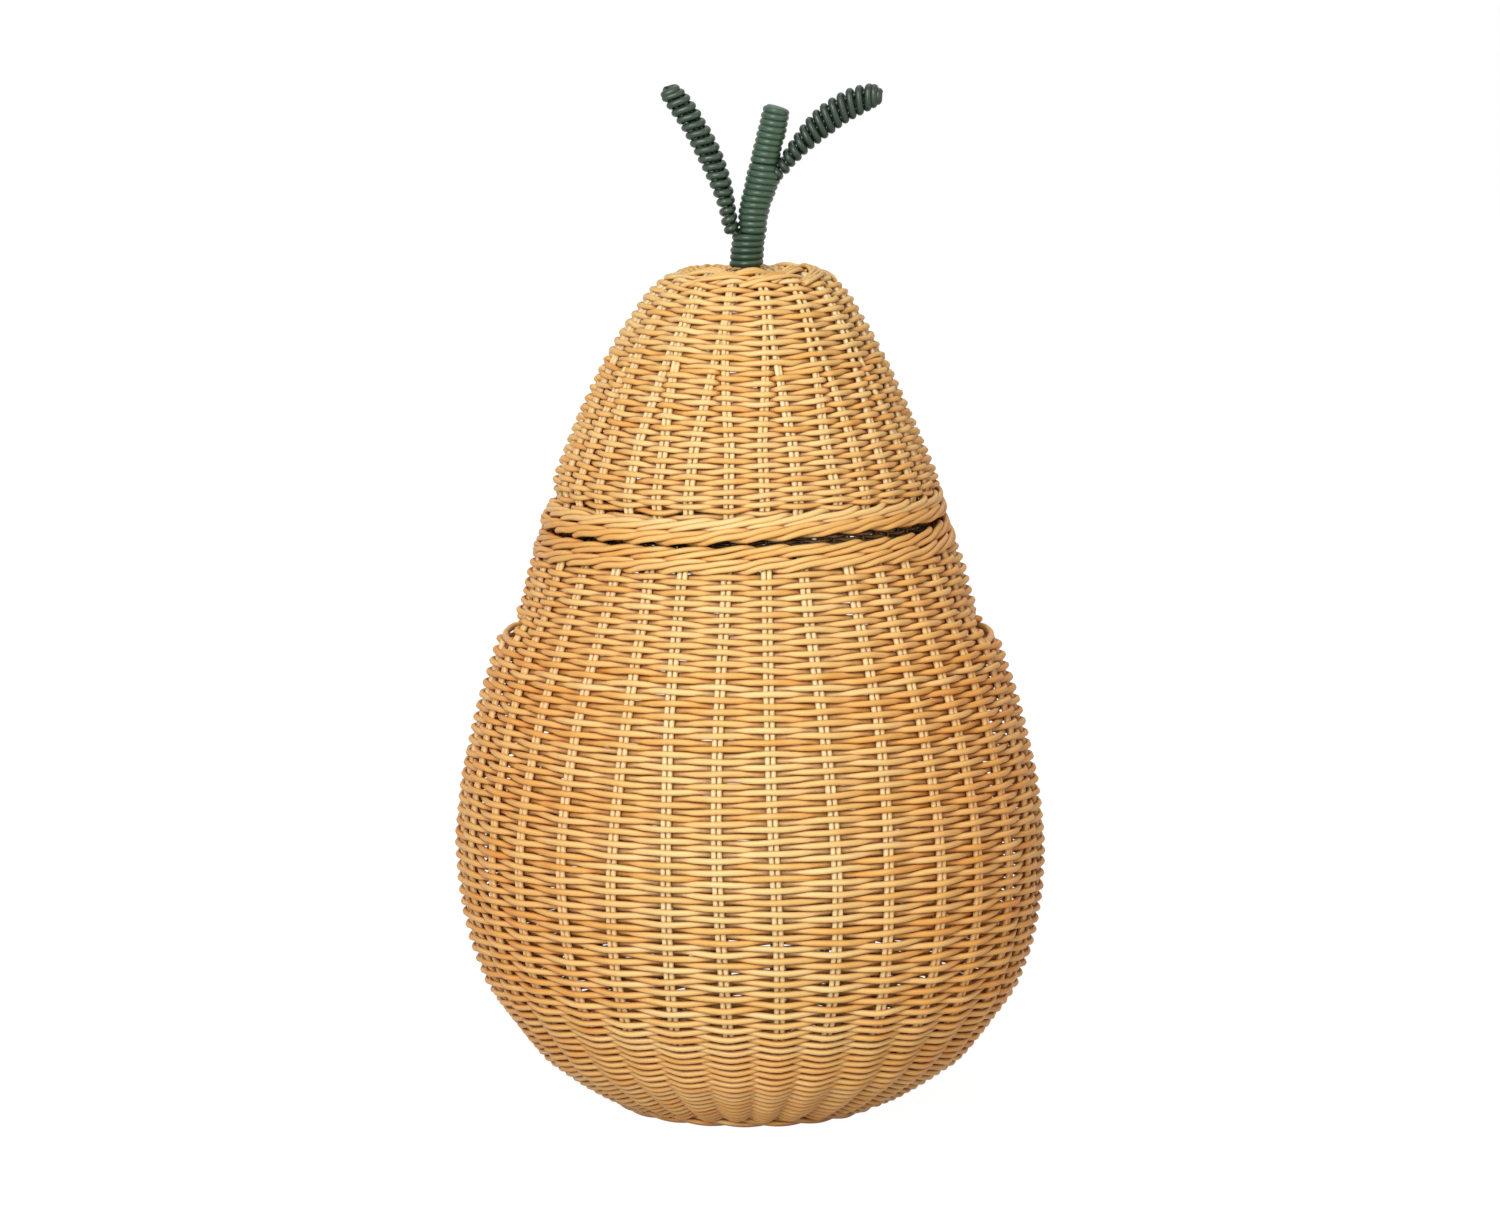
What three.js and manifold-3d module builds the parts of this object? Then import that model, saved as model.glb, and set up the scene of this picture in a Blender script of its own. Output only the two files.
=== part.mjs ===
import * as THREE from "three";
import { mergeVertices } from "three/addons/utils/BufferGeometryUtils.js";
import Module from "manifold-3d";

// Pear-shaped storage basket woven from rattan core: a round-bellied body with a finger slot on
// each side, and a lift-off lid that carries a wrapped stem and two woven leaves.
// Millimetres, +Z up, front towards -Y, origin on the floor at the centre of the foot.

const wasm = await Module();
wasm.setup();

// Rods and fits
const rodDiameter = 3; // core rod, as in the leaf ribs and the leaf edges
const wallThickness = 9; // woven wall: weaver, stake, weaver
const clearance = 0.3; // left between pieces that touch
const stakePairs = 32; // round the wall, between its weavers
const ribHeight = 3.2; // of the ridge that the weavers make over each pair of stakes
const ringSides = 32; // facets of the rims, foot and base
const levelSpacing = 40; // greatest height of a facet
const levelMargin = 8; // a station this close to a wall's end gives it no row of corners

// Outline of the pear: outside radius of each station, and its rise above the one below
const footEdgeRadius = 78.5;
const footEdgeHeight = 4;
const lowBowlRadius = 96;
const lowBowlRise = 9;
const bowlRadius = 122;
const bowlRise = 20;
const flankRadius = 151;
const flankRise = 38;
const bellyRadius = 167.6;
const bellyRise = 79;
const shoulderRadius = 157;
const shoulderRise = 72;
const sillRadius = 142.4;
const sillRise = 48;
const neckRadius = 128;
const neckRise = 32;
const seamRadius = 116;
const seamRise = 35;
const lidWaistRadius = 113;
const lidWaistRise = 17;
const lidFlankRadius = 97;
const lidFlankRise = 40;
const lidShoulderRadius = 75;
const lidShoulderRise = 46.5;
const lidTopRadius = 52.7;
const lidTopRise = 35;

// Foot and base
const footRingRadius = 70;
const footRingWidth = 14.4;
const footRingHeight = 7;
const footRingChamfer = 2;
const baseThickness = 7.8;
const baseStickDiameter = 4;
const baseStickCount = 8;
const baseClearance = 0.45; // from the base's edge to the siding round it

// Finger slots at the left and the right
const slotLength = 66;
const slotHeight = 18;
const sillRodDiameter = 5;
const sillRodInset = 3.5; // from the wall's outside to the middle of the sill rod
const gripBarDiameter = 4;
const sillSwell = 3; // how far the wall stands out under a slot
const gripTuck = 3.5; // how far it draws in above the slot
const swellReach = 26; // height over which either fades away
const swellFade = 22; // degrees past the slot's end over which either fades away

// Rims where the lid meets the body
const bodyWaleHeight = 7.6;
const bodyBorderHeight = 7.6;
const lidBorderHeight = 9;
const lidWaleHeight = 9;
const ropeStandOut = 1; // how far the rims stand proud of the rows
const collarThickness = 4;
const collarClearance = 3.8; // free play of the lid's collar inside the mouth
const collarDrop = 15; // how far the collar reaches into the mouth

// Crown of the lid
const crownSectionRadius = 8;
const crownLobeCount = 8;
const crownLobeDepth = 2.2;
const crownWeaveThickness = 6;
const crownWeaveTaper = 2; // by which the weave's underside is smaller

// Stem
const stemHeight = 95;
const stemLean = 17.1; // how far the top stands to the right
const stemBend = 1.7; // 1 is straight, and more bends it later
const stemCoreDiameter = 8.6;
const tenonLength = 14; // of the core below the crown weave
const pegDiameter = 4;
const pegLength = 44;

// Wrapping of the stem, in three windings
const wrapDiameter = 3.2;
const wrapPitch = 3.8;
const wrapSteps = 18; // to a loop
const wrapSides = 6;
const baseWrapLoops = 5;
const middleWrapLoops = 9;
const topWrapLoops = 9;
const leafGap = 4.8; // opened between two windings, where a leaf comes out
const tailPlay = 0.85; // between a winding and the leaf tail bound in under it
const tailEase = 0.1; // lifts the bend of a leaf tail off the core

// Leaves
const leafWeaverDiameter = 2.2;
const leafTailLength = 15;
const leafBareLength = 7; // of the rods between the wrapping and the weave
const leafStandOff = 4.5; // of the blade's start from a rod lying on the core
const leafSpread = 3.9; // from the rib to the edge rods at the widest
const leafTipSpread = 2.4;
const leafOpenShare = 0.45; // share of the blade over which the edge rods part
const leafTaperStart = 0.6; // share of the blade where they start to draw in again
const leafTaperEnd = 0.95;
const ribSetback = 24; // of the rib's end from the leaf's tip
const leftLeafReach = 34.7;
const leftLeafRise = 78;
const leftLeafBendReach = 5;
const leftLeafBendRise = 39;
const rightLeafReach = 56.8;
const rightLeafRise = 38;
const rightLeafBendReach = 28;
const rightLeafBendRise = 35.7;

// Facets
const crownSides = 64;
const crownSectionSides = 8;
const slotRodSteps = 8;
const coreSteps = 14;
const coreSides = 10;
const bladePoints = 8; // along a leaf's rods
const leafRodSides = 6;
const ribSteps = 18;
const edgeRodSteps = 56;
const leafWeaveRings = 11;
const leafWeaveSides = 10;
const leafTipAngles = [25, 45, 62, 78]; // of the rings that round off a leaf's tip
const hairpinAngle = 45; // of the points on each side of the edge rod's turn at the tip

// Stations of the outline, from the floor up
const outlineStep = 0.25; // between heights at which the outline is tried
const stations = [];

function addStation(radius, rise) {
  const below = stations.length ? stations[stations.length - 1].height : 0;
  stations.push({ radius, height: below + rise });
  return below + rise;
}

addStation(footEdgeRadius, footEdgeHeight);
addStation(lowBowlRadius, lowBowlRise);
addStation(bowlRadius, bowlRise);
addStation(flankRadius, flankRise);
const bellyHeight = addStation(bellyRadius, bellyRise);
const shoulderHeight = addStation(shoulderRadius, shoulderRise);
const sillHeight = addStation(sillRadius, sillRise);
addStation(neckRadius, neckRise);
const seamHeight = addStation(seamRadius, seamRise);
addStation(lidWaistRadius, lidWaistRise);
const lidSplitHeight = addStation(lidFlankRadius, lidFlankRise);
const lidShoulderHeight = addStation(lidShoulderRadius, lidShoulderRise);
const lidTopHeight = addStation(lidTopRadius, lidTopRise);
const slotTopHeight = sillHeight + slotHeight;

function slopeBetween(a, b) {
  return (stations[b].radius - stations[a].radius) / (stations[b].height - stations[a].height);
}

function stationSlope(index) {
  const last = stations.length - 1;
  if (index === 0) return slopeBetween(0, 1);
  if (index === last) return slopeBetween(last - 1, last);
  return (slopeBetween(index - 1, index) + slopeBetween(index, index + 1)) / 2;
}

// Outside radius at a height: a smooth curve through the stations
function outlineRadius(height) {
  const last = stations.length - 1;
  let index = 0;
  while (index < last - 1 && height > stations[index + 1].height) index += 1;
  const low = stations[index];
  const high = stations[index + 1];
  const rise = high.height - low.height;
  const t = (height - low.height) / rise;
  if (t < 0) return low.radius + stationSlope(index) * (height - low.height);
  if (t > 1) return high.radius + stationSlope(index + 1) * (height - high.height);
  const lowSlope = rise * stationSlope(index);
  const highSlope = rise * stationSlope(index + 1);
  const fromLow = (1 - t) ** 2 * ((1 + 2 * t) * low.radius + t * lowSlope);
  const fromHigh = t * t * ((3 - 2 * t) * high.radius + (t - 1) * highSlope);
  return fromLow + fromHigh;
}

// Point on the outline as (radius, height), its outward normal and its upward tangent
function outlineFrame(height) {
  const [below, above] = [outlineRadius(height - outlineStep), outlineRadius(height + outlineStep)];
  const slope = (above - below) / (2 * outlineStep);
  return {
    point: new THREE.Vector2(outlineRadius(height), height),
    normal: new THREE.Vector2(1, -slope).normalize(),
    tangent: new THREE.Vector2(slope, 1).normalize(),
  };
}

// Height at which the body is widest below the shoulder's swell, which starts halfway from the
// belly to the shoulder. The lower wall is in two pieces there.
function findWidestHeight() {
  const swellHeight = (bellyHeight + shoulderHeight) / 2;
  let widest = footEdgeHeight;
  for (let height = footEdgeHeight; height <= swellHeight; height += outlineStep) {
    if (outlineRadius(height) > outlineRadius(widest)) widest = height;
  }
  return widest;
}

// Heights at which a wall between two heights gets a row of corners
function levelsBetween(low, high) {
  const heights = stations.map((station) => station.height);
  const inside = heights.filter((h) => h > low + levelMargin && h < high - levelMargin);
  const marks = [low, ...inside, high];
  const levels = [low];
  for (let i = 1; i < marks.length; i += 1) {
    const count = Math.ceil((marks[i] - marks[i - 1]) / levelSpacing);
    for (let k = 1; k <= count; k += 1) {
      levels.push(marks[i - 1] + ((marks[i] - marks[i - 1]) * k) / count);
    }
  }
  return levels;
}

// Point at a height on the outline, moved out square to it
function besideOutline(height, standOut) {
  const { point, normal } = outlineFrame(height);
  return point.clone().addScaledVector(normal, standOut);
}

// Depth of the valley after a pair of stakes. Towards the crown every second valley fills up,
// because the pairs close up to groups of four.
function valleyDepth(pair, height) {
  const closed = THREE.MathUtils.smoothstep(height, lidSplitHeight, lidShoulderHeight);
  return pair % 2 === 0 ? ribHeight * (1 - closed) : ribHeight;
}

// Woven wall that follows the outline, with end faces square to it. Each pair of stakes has a
// ridge outside, a valley after it and a corner on the plain inside.
function wovenWall(low, high) {
  const levels = levelsBetween(low, high);
  const positions = [];
  const addCorner = (corner, turns) => {
    const angle = (2 * Math.PI * turns) / stakePairs;
    positions.push(corner.x * Math.cos(angle), corner.x * Math.sin(angle), corner.y);
  };
  for (const height of levels) {
    for (let pair = 0; pair < stakePairs; pair += 1) {
      addCorner(besideOutline(height, 0), pair + 0.5);
      addCorner(besideOutline(height, -valleyDepth(pair, height)), pair + 1);
      addCorner(besideOutline(height, -wallThickness), pair + 0.5);
    }
  }
  const index = [];
  const up = 3 * stakePairs; // from a corner to the one above it
  const top = up * (levels.length - 1);
  for (let ridge = 0; ridge < up; ridge += 3) {
    const [valley, inside] = [ridge + 1, ridge + 2];
    const nextRidge = (ridge + 3) % up;
    const nextInside = nextRidge + 2;
    for (let level = 0; level < top; level += up) {
      for (const [from, to] of [[ridge, valley], [valley, nextRidge], [nextInside, inside]]) {
        const [a, b] = [from + level, to + level];
        index.push(a, b, a + up, b, b + up, a + up);
      }
    }
    const endFaces = [
      [inside, ridge, valley],
      [inside, valley, nextInside],
      [nextInside, valley, nextRidge],
    ];
    for (const [a, b, c] of endFaces) index.push(a, c, b, a + top, b + top, c + top);
  }
  const geometry = new THREE.BufferGeometry();
  geometry.setAttribute("position", new THREE.Float32BufferAttribute(positions, 3));
  geometry.setIndex(index);
  return geometry;
}

// Section of a rope rim with a rounded outside. Its end faces are level where rims meet, and
// square to the outline where it meets a wall, whose end face it follows.
function rimProfile(low, high, lowIsLevel, highIsLevel, innerRadius) {
  const chamfer = (high - low) / 4;
  const bottom = besideOutline(low, -wallThickness);
  const top = besideOutline(high, -wallThickness);
  const lowEdge = besideOutline(low, -ropeStandOut);
  const highEdge = besideOutline(high, -ropeStandOut);
  if (lowIsLevel) bottom.y = lowEdge.y = low;
  if (highIsLevel) top.y = highEdge.y = high;
  if (innerRadius) bottom.x = top.x = innerRadius;
  const outside = [
    besideOutline(low + chamfer, ropeStandOut),
    besideOutline(high - chamfer, ropeStandOut),
  ];
  return [bottom, lowEdge, ...outside, highEdge, top];
}

// Solid of the section that starts and ends on the axis or closes on itself, turned about the
// vertical axis, with a corner half a facet past it so that it lines up with the ridges
function turnedSection(profile, sides) {
  const geometry = new THREE.LatheGeometry(profile, sides, Math.PI / sides);
  return geometry.rotateX(Math.PI / 2);
}

function turned(profile, sides = ringSides) {
  return turnedSection([...profile, profile[0]], sides);
}

function polygon(radius, sides) {
  const corners = [];
  for (let i = 0; i < sides; i += 1) {
    const angle = (2 * Math.PI * (i + 0.5)) / sides;
    corners.push(new THREE.Vector2(radius * Math.cos(angle), radius * Math.sin(angle)));
  }
  return new THREE.Shape(corners);
}

// Round rod along a curve
function rodAlong(curve, diameter, steps, sides = 8) {
  return new THREE.ExtrudeGeometry(polygon(diameter / 2, sides), {
    steps,
    bevelEnabled: false,
    extrudePath: curve,
  });
}

// Closed skin over a row of rings that have the same number of points
function skinOver(rings) {
  const count = rings[0].length;
  const positions = rings.flat().flatMap((point) => [point.x, point.y, point.z]);
  const index = [];
  for (let i = 0; i + 1 < rings.length; i += 1) {
    for (let k = 0; k < count; k += 1) {
      const a = i * count + k;
      const b = i * count + ((k + 1) % count);
      index.push(a, b, a + count, b, b + count, a + count);
    }
  }
  const end = (rings.length - 1) * count;
  for (let k = 1; k + 1 < count; k += 1) {
    index.push(0, k + 1, k);
    index.push(end, end + k, end + k + 1);
  }
  const geometry = new THREE.BufferGeometry();
  geometry.setAttribute("position", new THREE.Float32BufferAttribute(positions, 3));
  geometry.setIndex(index);
  return geometry;
}

// Ring of points round a centre, on an ellipse with the two half axes given as vectors
function ringOfPoints(centre, halfWidth, halfDepth, sides) {
  const ring = [];
  for (let k = 0; k < sides; k += 1) {
    const angle = (2 * Math.PI * k) / sides;
    const point = centre.clone().addScaledVector(halfWidth, Math.cos(angle));
    ring.push(point.addScaledVector(halfDepth, Math.sin(angle)));
  }
  return ring;
}

function signedVolume(geometry) {
  const position = geometry.getAttribute("position");
  const index = geometry.getIndex();
  const corner = [new THREE.Vector3(), new THREE.Vector3(), new THREE.Vector3()];
  let volume = 0;
  for (let i = 0; i < index.count; i += 3) {
    corner.forEach((point, k) => point.fromBufferAttribute(position, index.getX(i + k)));
    volume += corner[0].dot(corner[1].cross(corner[2])) / 6;
  }
  return volume;
}

// One closed skin with shared corners and its faces pointing out
function welded(source) {
  const plain = source.clone();
  plain.deleteAttribute("normal");
  plain.deleteAttribute("uv");
  const geometry = mergeVertices(plain, 1e-3);
  const index = geometry.getIndex();
  const flip = signedVolume(geometry) < 0;
  const kept = [];
  for (let i = 0; i < index.count; i += 3) {
    const [a, b, c] = [index.getX(i), index.getX(i + 1), index.getX(i + 2)];
    if (a !== b && b !== c && c !== a) kept.push(...(flip ? [a, c, b] : [a, b, c]));
  }
  geometry.setIndex(kept);
  return geometry;
}

function toSolid(source) {
  const geometry = welded(source);
  const vertProperties = Float32Array.from(geometry.getAttribute("position").array);
  const triVerts = Uint32Array.from(geometry.getIndex().array);
  return new wasm.Manifold(new wasm.Mesh({ numProp: 3, vertProperties, triVerts }));
}

function fromSolid(solid) {
  const mesh = solid.getMesh();
  const geometry = new THREE.BufferGeometry();
  const corners = mesh.vertProperties;
  geometry.setAttribute("position", new THREE.Float32BufferAttribute(corners, 3));
  geometry.setIndex(Array.from(mesh.triVerts));
  return geometry;
}

function cutFrom(body, tools) {
  return fromSolid(tools.reduce((left, tool) => left.subtract(toSolid(tool)), toSolid(body)));
}

function joined(pieces) {
  const [first, ...rest] = pieces.map(toSolid);
  return fromSolid(rest.reduce((sum, piece) => sum.add(piece), first));
}

// The wall swells out under each finger slot and draws in above it
const slotHalfAngle = THREE.MathUtils.radToDeg(Math.asin(slotLength / 2 / sillRadius));

function gripShift(x, y, height) {
  const sideAngle = THREE.MathUtils.radToDeg(Math.atan2(Math.abs(y), Math.abs(x)));
  const along = 1 - THREE.MathUtils.smoothstep(sideAngle, slotHalfAngle, slotHalfAngle + swellFade);
  const below = 1 - THREE.MathUtils.smoothstep(sillHeight - height, 0, swellReach);
  const above = 1 - THREE.MathUtils.smoothstep(height - slotTopHeight, 0, swellReach);
  const up = THREE.MathUtils.clamp((height - sillHeight) / slotHeight, 0, 1);
  return along * (sillSwell * below * (1 - up) - gripTuck * above * up);
}

function shapedAtGrips(geometry) {
  const position = geometry.getAttribute("position");
  for (let i = 0; i < position.count; i += 1) {
    const [x, y, z] = [position.getX(i), position.getY(i), position.getZ(i)];
    const radius = Math.hypot(x, y);
    const factor = 1 + gripShift(x, y, z) / radius;
    position.setXYZ(i, x * factor, y * factor, z);
  }
  return geometry;
}

// Body walls, from the foot to the mouth
const bodyBorderLow = seamHeight - bodyBorderHeight;
const bodyWaleLow = bodyBorderLow - clearance - bodyWaleHeight;

const widestHeight = findWidestHeight();

function makeBowlSiding() {
  return wovenWall(footEdgeHeight, widestHeight);
}

function makeBellySiding() {
  return shapedAtGrips(wovenWall(widestHeight + clearance, sillHeight));
}

function makeUpperSiding() {
  return shapedAtGrips(wovenWall(slotTopHeight + clearance, bodyWaleLow - clearance));
}

// Rows beside the slots, whose weavers turn back at the slots' ends: the front half
function makeGripPanel() {
  const band = shapedAtGrips(wovenWall(sillHeight + clearance, slotTopHeight));
  const reach = 4 * bellyRadius;
  const tall = slotHeight + 4 * wallThickness;
  const slots = new THREE.BoxGeometry(reach, slotLength, tall);
  const backHalf = new THREE.BoxGeometry(reach, reach, tall);
  const middle = (sillHeight + slotTopHeight) / 2;
  slots.translate(0, 0, middle);
  backHalf.translate(0, reach / 2, middle);
  return cutFrom(band, [slots, backHalf]);
}

// Rod along a slot's edge; side is 1 at the right and -1 at the left
function makeSlotRod(side, diameter, seatHeight, depth, upward) {
  const { point, normal, tangent } = outlineFrame(seatHeight);
  const seat = point.clone().addScaledVector(normal, -depth);
  const centre = seat.clone().addScaledVector(tangent, upward * (clearance + diameter / 2));
  const endPlay = clearance + diameter / 4;
  const halfAngle = Math.asin((slotLength / 2 - endPlay) / centre.x);
  const path = [];
  for (let i = 0; i <= slotRodSteps; i += 1) {
    const angle = halfAngle * ((2 * i) / slotRodSteps - 1);
    const shift = gripShift(Math.cos(angle), Math.sin(angle), seat.y);
    const radius = centre.x + shift;
    path.push(new THREE.Vector3(side * radius * Math.cos(angle), radius * Math.sin(angle), centre.y));
  }
  return rodAlong(new THREE.CatmullRomCurve3(path), diameter, slotRodSteps);
}

function makeGripSill(side) {
  return makeSlotRod(side, sillRodDiameter, sillHeight, sillRodInset, 1);
}

function makeGripBar(side) {
  const depth = wallThickness - gripBarDiameter;
  return makeSlotRod(side, gripBarDiameter, slotTopHeight + clearance, depth, -1);
}

// Foot and base
const baseLow = footRingHeight + clearance;
const baseHigh = baseLow + baseThickness;

function makeFootBorder() {
  const inner = footRingRadius - footRingWidth / 2;
  const outer = footRingRadius + footRingWidth / 2;
  return turned([
    new THREE.Vector2(inner + footRingChamfer, 0),
    new THREE.Vector2(outer - footRingChamfer, 0),
    new THREE.Vector2(outer, footRingChamfer),
    new THREE.Vector2(outer, footRingHeight - footRingChamfer),
    new THREE.Vector2(outer - footRingChamfer, footRingHeight),
    new THREE.Vector2(inner + footRingChamfer, footRingHeight),
    new THREE.Vector2(inner, footRingHeight - footRingChamfer),
    new THREE.Vector2(inner, footRingChamfer),
  ]);
}

// Lower end face of the siding, which the base's edge follows
const sidingEnd = outlineFrame(footEdgeHeight);
const sidingEndInner = sidingEnd.point.clone().addScaledVector(sidingEnd.normal, -wallThickness);

function baseEdgeRadius(height) {
  const share = Math.min(1, (height - sidingEnd.point.y) / (sidingEndInner.y - sidingEnd.point.y));
  return THREE.MathUtils.lerp(sidingEnd.point.x, sidingEndInner.x, share) - baseClearance;
}

// Sticks that cross at the middle of the base
function stickStar(halfLength, width) {
  const height = (baseLow + baseHigh) / 2;
  const sticks = [];
  for (let i = 0; i < baseStickCount; i += 1) {
    const stick = new THREE.BoxGeometry(2 * halfLength, width, width);
    stick.rotateZ((Math.PI * (i + 0.5)) / baseStickCount);
    sticks.push(stick.translate(0, 0, height));
  }
  return joined(sticks);
}

function makeBaseSticks() {
  return stickStar(baseEdgeRadius(baseHigh) - clearance, baseStickDiameter);
}

function makeBaseWeave() {
  const bend = Math.min(baseHigh, sidingEndInner.y);
  const disc = turnedSection([
    new THREE.Vector2(0, baseLow),
    new THREE.Vector2(baseEdgeRadius(baseLow), baseLow),
    new THREE.Vector2(baseEdgeRadius(bend), bend),
    new THREE.Vector2(baseEdgeRadius(baseHigh), baseHigh),
    new THREE.Vector2(0, baseHigh),
  ], ringSides);
  return cutFrom(disc, [stickStar(footEdgeRadius, baseStickDiameter + 2 * clearance)]);
}

// Rims and collar
const mouthRadius = outlineRadius(seamHeight) - wallThickness;
const collarRadius = mouthRadius - collarClearance;
const lidBorderLow = seamHeight + clearance;
const lidBorderHigh = lidBorderLow + lidBorderHeight;
const lidWaleLow = lidBorderHigh + clearance;
const lidWaleHigh = lidWaleLow + lidWaleHeight;

function makeCollar() {
  const low = seamHeight - collarDrop;
  const high = lidBorderHigh - clearance;
  return turned([
    new THREE.Vector2(collarRadius - collarThickness, low),
    new THREE.Vector2(collarRadius, low),
    new THREE.Vector2(collarRadius, high),
    new THREE.Vector2(collarRadius - collarThickness, high),
  ]);
}

// Crown: a ring of scalloped loops on the lid's top edge, closed by a flat weave
const lidTop = outlineFrame(lidTopHeight);
const crownCentre = lidTop.point
  .clone()
  .addScaledVector(lidTop.normal, -wallThickness / 2)
  .addScaledVector(lidTop.tangent, crownSectionRadius + clearance);
const crownFlatReach = crownSectionRadius * Math.cos(Math.PI / crownSectionSides);
const crownWeaveRadius = crownCentre.x - crownFlatReach - clearance;
const crownFloor = crownCentre.y;
const crownWeaveLow = crownFloor - crownWeaveThickness;

function makeCrownBorder() {
  const corners = polygon(crownSectionRadius, crownSectionSides).getPoints();
  const profile = corners.slice(0, crownSectionSides).map((point) => point.add(crownCentre));
  const geometry = turned(profile, crownSides);
  const position = geometry.getAttribute("position");
  for (let i = 0; i < position.count; i += 1) {
    const [x, y, z] = [position.getX(i), position.getY(i), position.getZ(i)];
    const angle = Math.atan2(y, x);
    const valley = (1 - Math.cos(crownLobeCount * angle)) / 2;
    const share = 1 - (crownLobeDepth / crownSectionRadius) * valley;
    const radius = crownCentre.x + (Math.hypot(x, y) - crownCentre.x) * share;
    const height = crownCentre.y + (z - crownCentre.y) * share;
    position.setXYZ(i, radius * Math.cos(angle), radius * Math.sin(angle), height);
  }
  return geometry;
}

function makeCrownWeave() {
  const hole = stemCoreDiameter / 2 + clearance;
  return turned([
    new THREE.Vector2(hole, crownWeaveLow),
    new THREE.Vector2(crownWeaveRadius - crownWeaveTaper, crownWeaveLow),
    new THREE.Vector2(crownWeaveRadius, crownFloor),
    new THREE.Vector2(hole, crownFloor),
  ]);
}

// Stem: a core that leans to the right, on a curve measured by its length from the crown
const stemPoints = [];
const stemPointCount = 9;
for (let i = 0; i < stemPointCount; i += 1) {
  const share = i / (stemPointCount - 1);
  const lean = stemLean * share ** stemBend;
  stemPoints.push(new THREE.Vector3(lean, 0, crownFloor + stemHeight * share));
}
const stemCurve = new THREE.CatmullRomCurve3(stemPoints);
const stemLength = stemCurve.getLength();
const frontToBack = new THREE.Vector3(0, 1, 0);

// Axis point at a length up the stem, and the direction to its right
function stemFrame(length) {
  const share = THREE.MathUtils.clamp(length / stemLength, 0, 1);
  const along = stemCurve.getTangentAt(share);
  const point = stemCurve.getPointAt(share);
  point.addScaledVector(along, length - share * stemLength);
  return { point, along, right: frontToBack.clone().cross(along) };
}

function makePeg(width, length) {
  const half = length / 2;
  const height = crownWeaveLow - clearance - pegDiameter / 2;
  const left = new THREE.Vector3(-half, 0, height);
  const right = new THREE.Vector3(half, 0, height);
  return rodAlong(new THREE.LineCurve3(left, right), width, 1);
}

function makeStemCore() {
  const low = new THREE.Vector3(0, 0, crownWeaveLow - tenonLength);
  const path = new THREE.CatmullRomCurve3([low, ...stemPoints]);
  const core = rodAlong(path, stemCoreDiameter, coreSteps, coreSides);
  return cutFrom(core, [makePeg(pegDiameter + 2 * clearance, pegLength)]);
}

// Wrapping: helical windings that widen where a leaf's tail is bound in beside the core
const coreRadius = stemCoreDiameter / 2;
const rodRadius = rodDiameter / 2;
const wrapRadius = wrapDiameter / 2;
const tailShift = (rodDiameter + clearance) / 2;
const baseWrapStart = wrapRadius + clearance;
const baseWrapEnd = baseWrapStart + baseWrapLoops * wrapPitch;
const middleWrapStart = baseWrapEnd + leafGap;
const middleWrapEnd = middleWrapStart + middleWrapLoops * wrapPitch;
const topWrapStart = middleWrapEnd + leafGap;

// Each winding starts and ends at the back, so it passes the left side three quarters of a
// turn before its end, and the right side one quarter of a turn before it
const turnsToBack = 0.25;
const leftExit = (baseWrapEnd + middleWrapStart) / 2 - turnsToBack * wrapPitch;
const rightExit = (middleWrapEnd + topWrapStart) / 2 + turnsToBack * wrapPitch;
const tailEnd = leafTailLength + leafGap / 2;

// Share of the full widening at a length up the stem: all of it along a leaf's tail
function tailShare(length) {
  const ramp = 2 * wrapPitch;
  if (length < leftExit) return 1;
  if (length > rightExit) return 0;
  return THREE.MathUtils.smoothstep(length, rightExit - tailEnd - ramp, rightExit - tailEnd);
}

function windingPoint(turns, start, side) {
  const length = start + turns * wrapPitch;
  const { point, right } = stemFrame(length);
  const share = tailShare(length);
  const angle = 2 * Math.PI * (turns + turnsToBack);
  const radius = coreRadius + clearance + wrapRadius + share * (tailShift + tailPlay - clearance);
  const outward = right.clone().multiplyScalar(Math.cos(angle));
  outward.addScaledVector(frontToBack, Math.sin(angle));
  point.addScaledVector(right, side * share * tailShift);
  return { centre: point.addScaledVector(outward, radius), outward };
}

function makeWinding(name, start, loops, side) {
  const centres = [];
  const outwards = [];
  for (let i = 0; i <= loops * wrapSteps; i += 1) {
    const { centre, outward } = windingPoint(i / wrapSteps, start, side);
    centres.push(centre);
    outwards.push(outward);
  }
  reportGap(name, centres);
  const first = centres[0].clone().sub(centres[1]).normalize();
  const last = centres.at(-1).clone().sub(centres.at(-2)).normalize();
  centres.unshift(centres[0].clone().addScaledVector(first, wrapDiameter));
  outwards.unshift(outwards[0]);
  centres.push(centres.at(-1).clone().addScaledVector(last, wrapDiameter));
  outwards.push(outwards.at(-1));
  const rings = centres.map((centre, i) => {
    const before = centres[Math.max(0, i - 1)];
    const after = centres[Math.min(centres.length - 1, i + 1)];
    const along = after.clone().sub(before).normalize();
    const up = along.clone().cross(outwards[i]).normalize();
    const out = up.clone().cross(along);
    out.multiplyScalar(wrapRadius);
    return ringOfPoints(centre, out, up.multiplyScalar(wrapRadius), wrapSides);
  });
  return skinOver(rings);
}

// Least gap between the loops of a winding, measured between points half a turn or more apart
function reportGap(name, centres) {
  let least = Infinity;
  for (let i = 0; i < centres.length; i += 1) {
    for (let k = i + wrapSteps / 2; k < centres.length; k += 1) {
      least = Math.min(least, centres[i].distanceTo(centres[k]));
    }
  }
  console.log(`${name}: least gap between loops ${(least - wrapDiameter).toFixed(2)} mm`);
}

const leafCover = rodRadius + leafWeaverDiameter;

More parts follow.
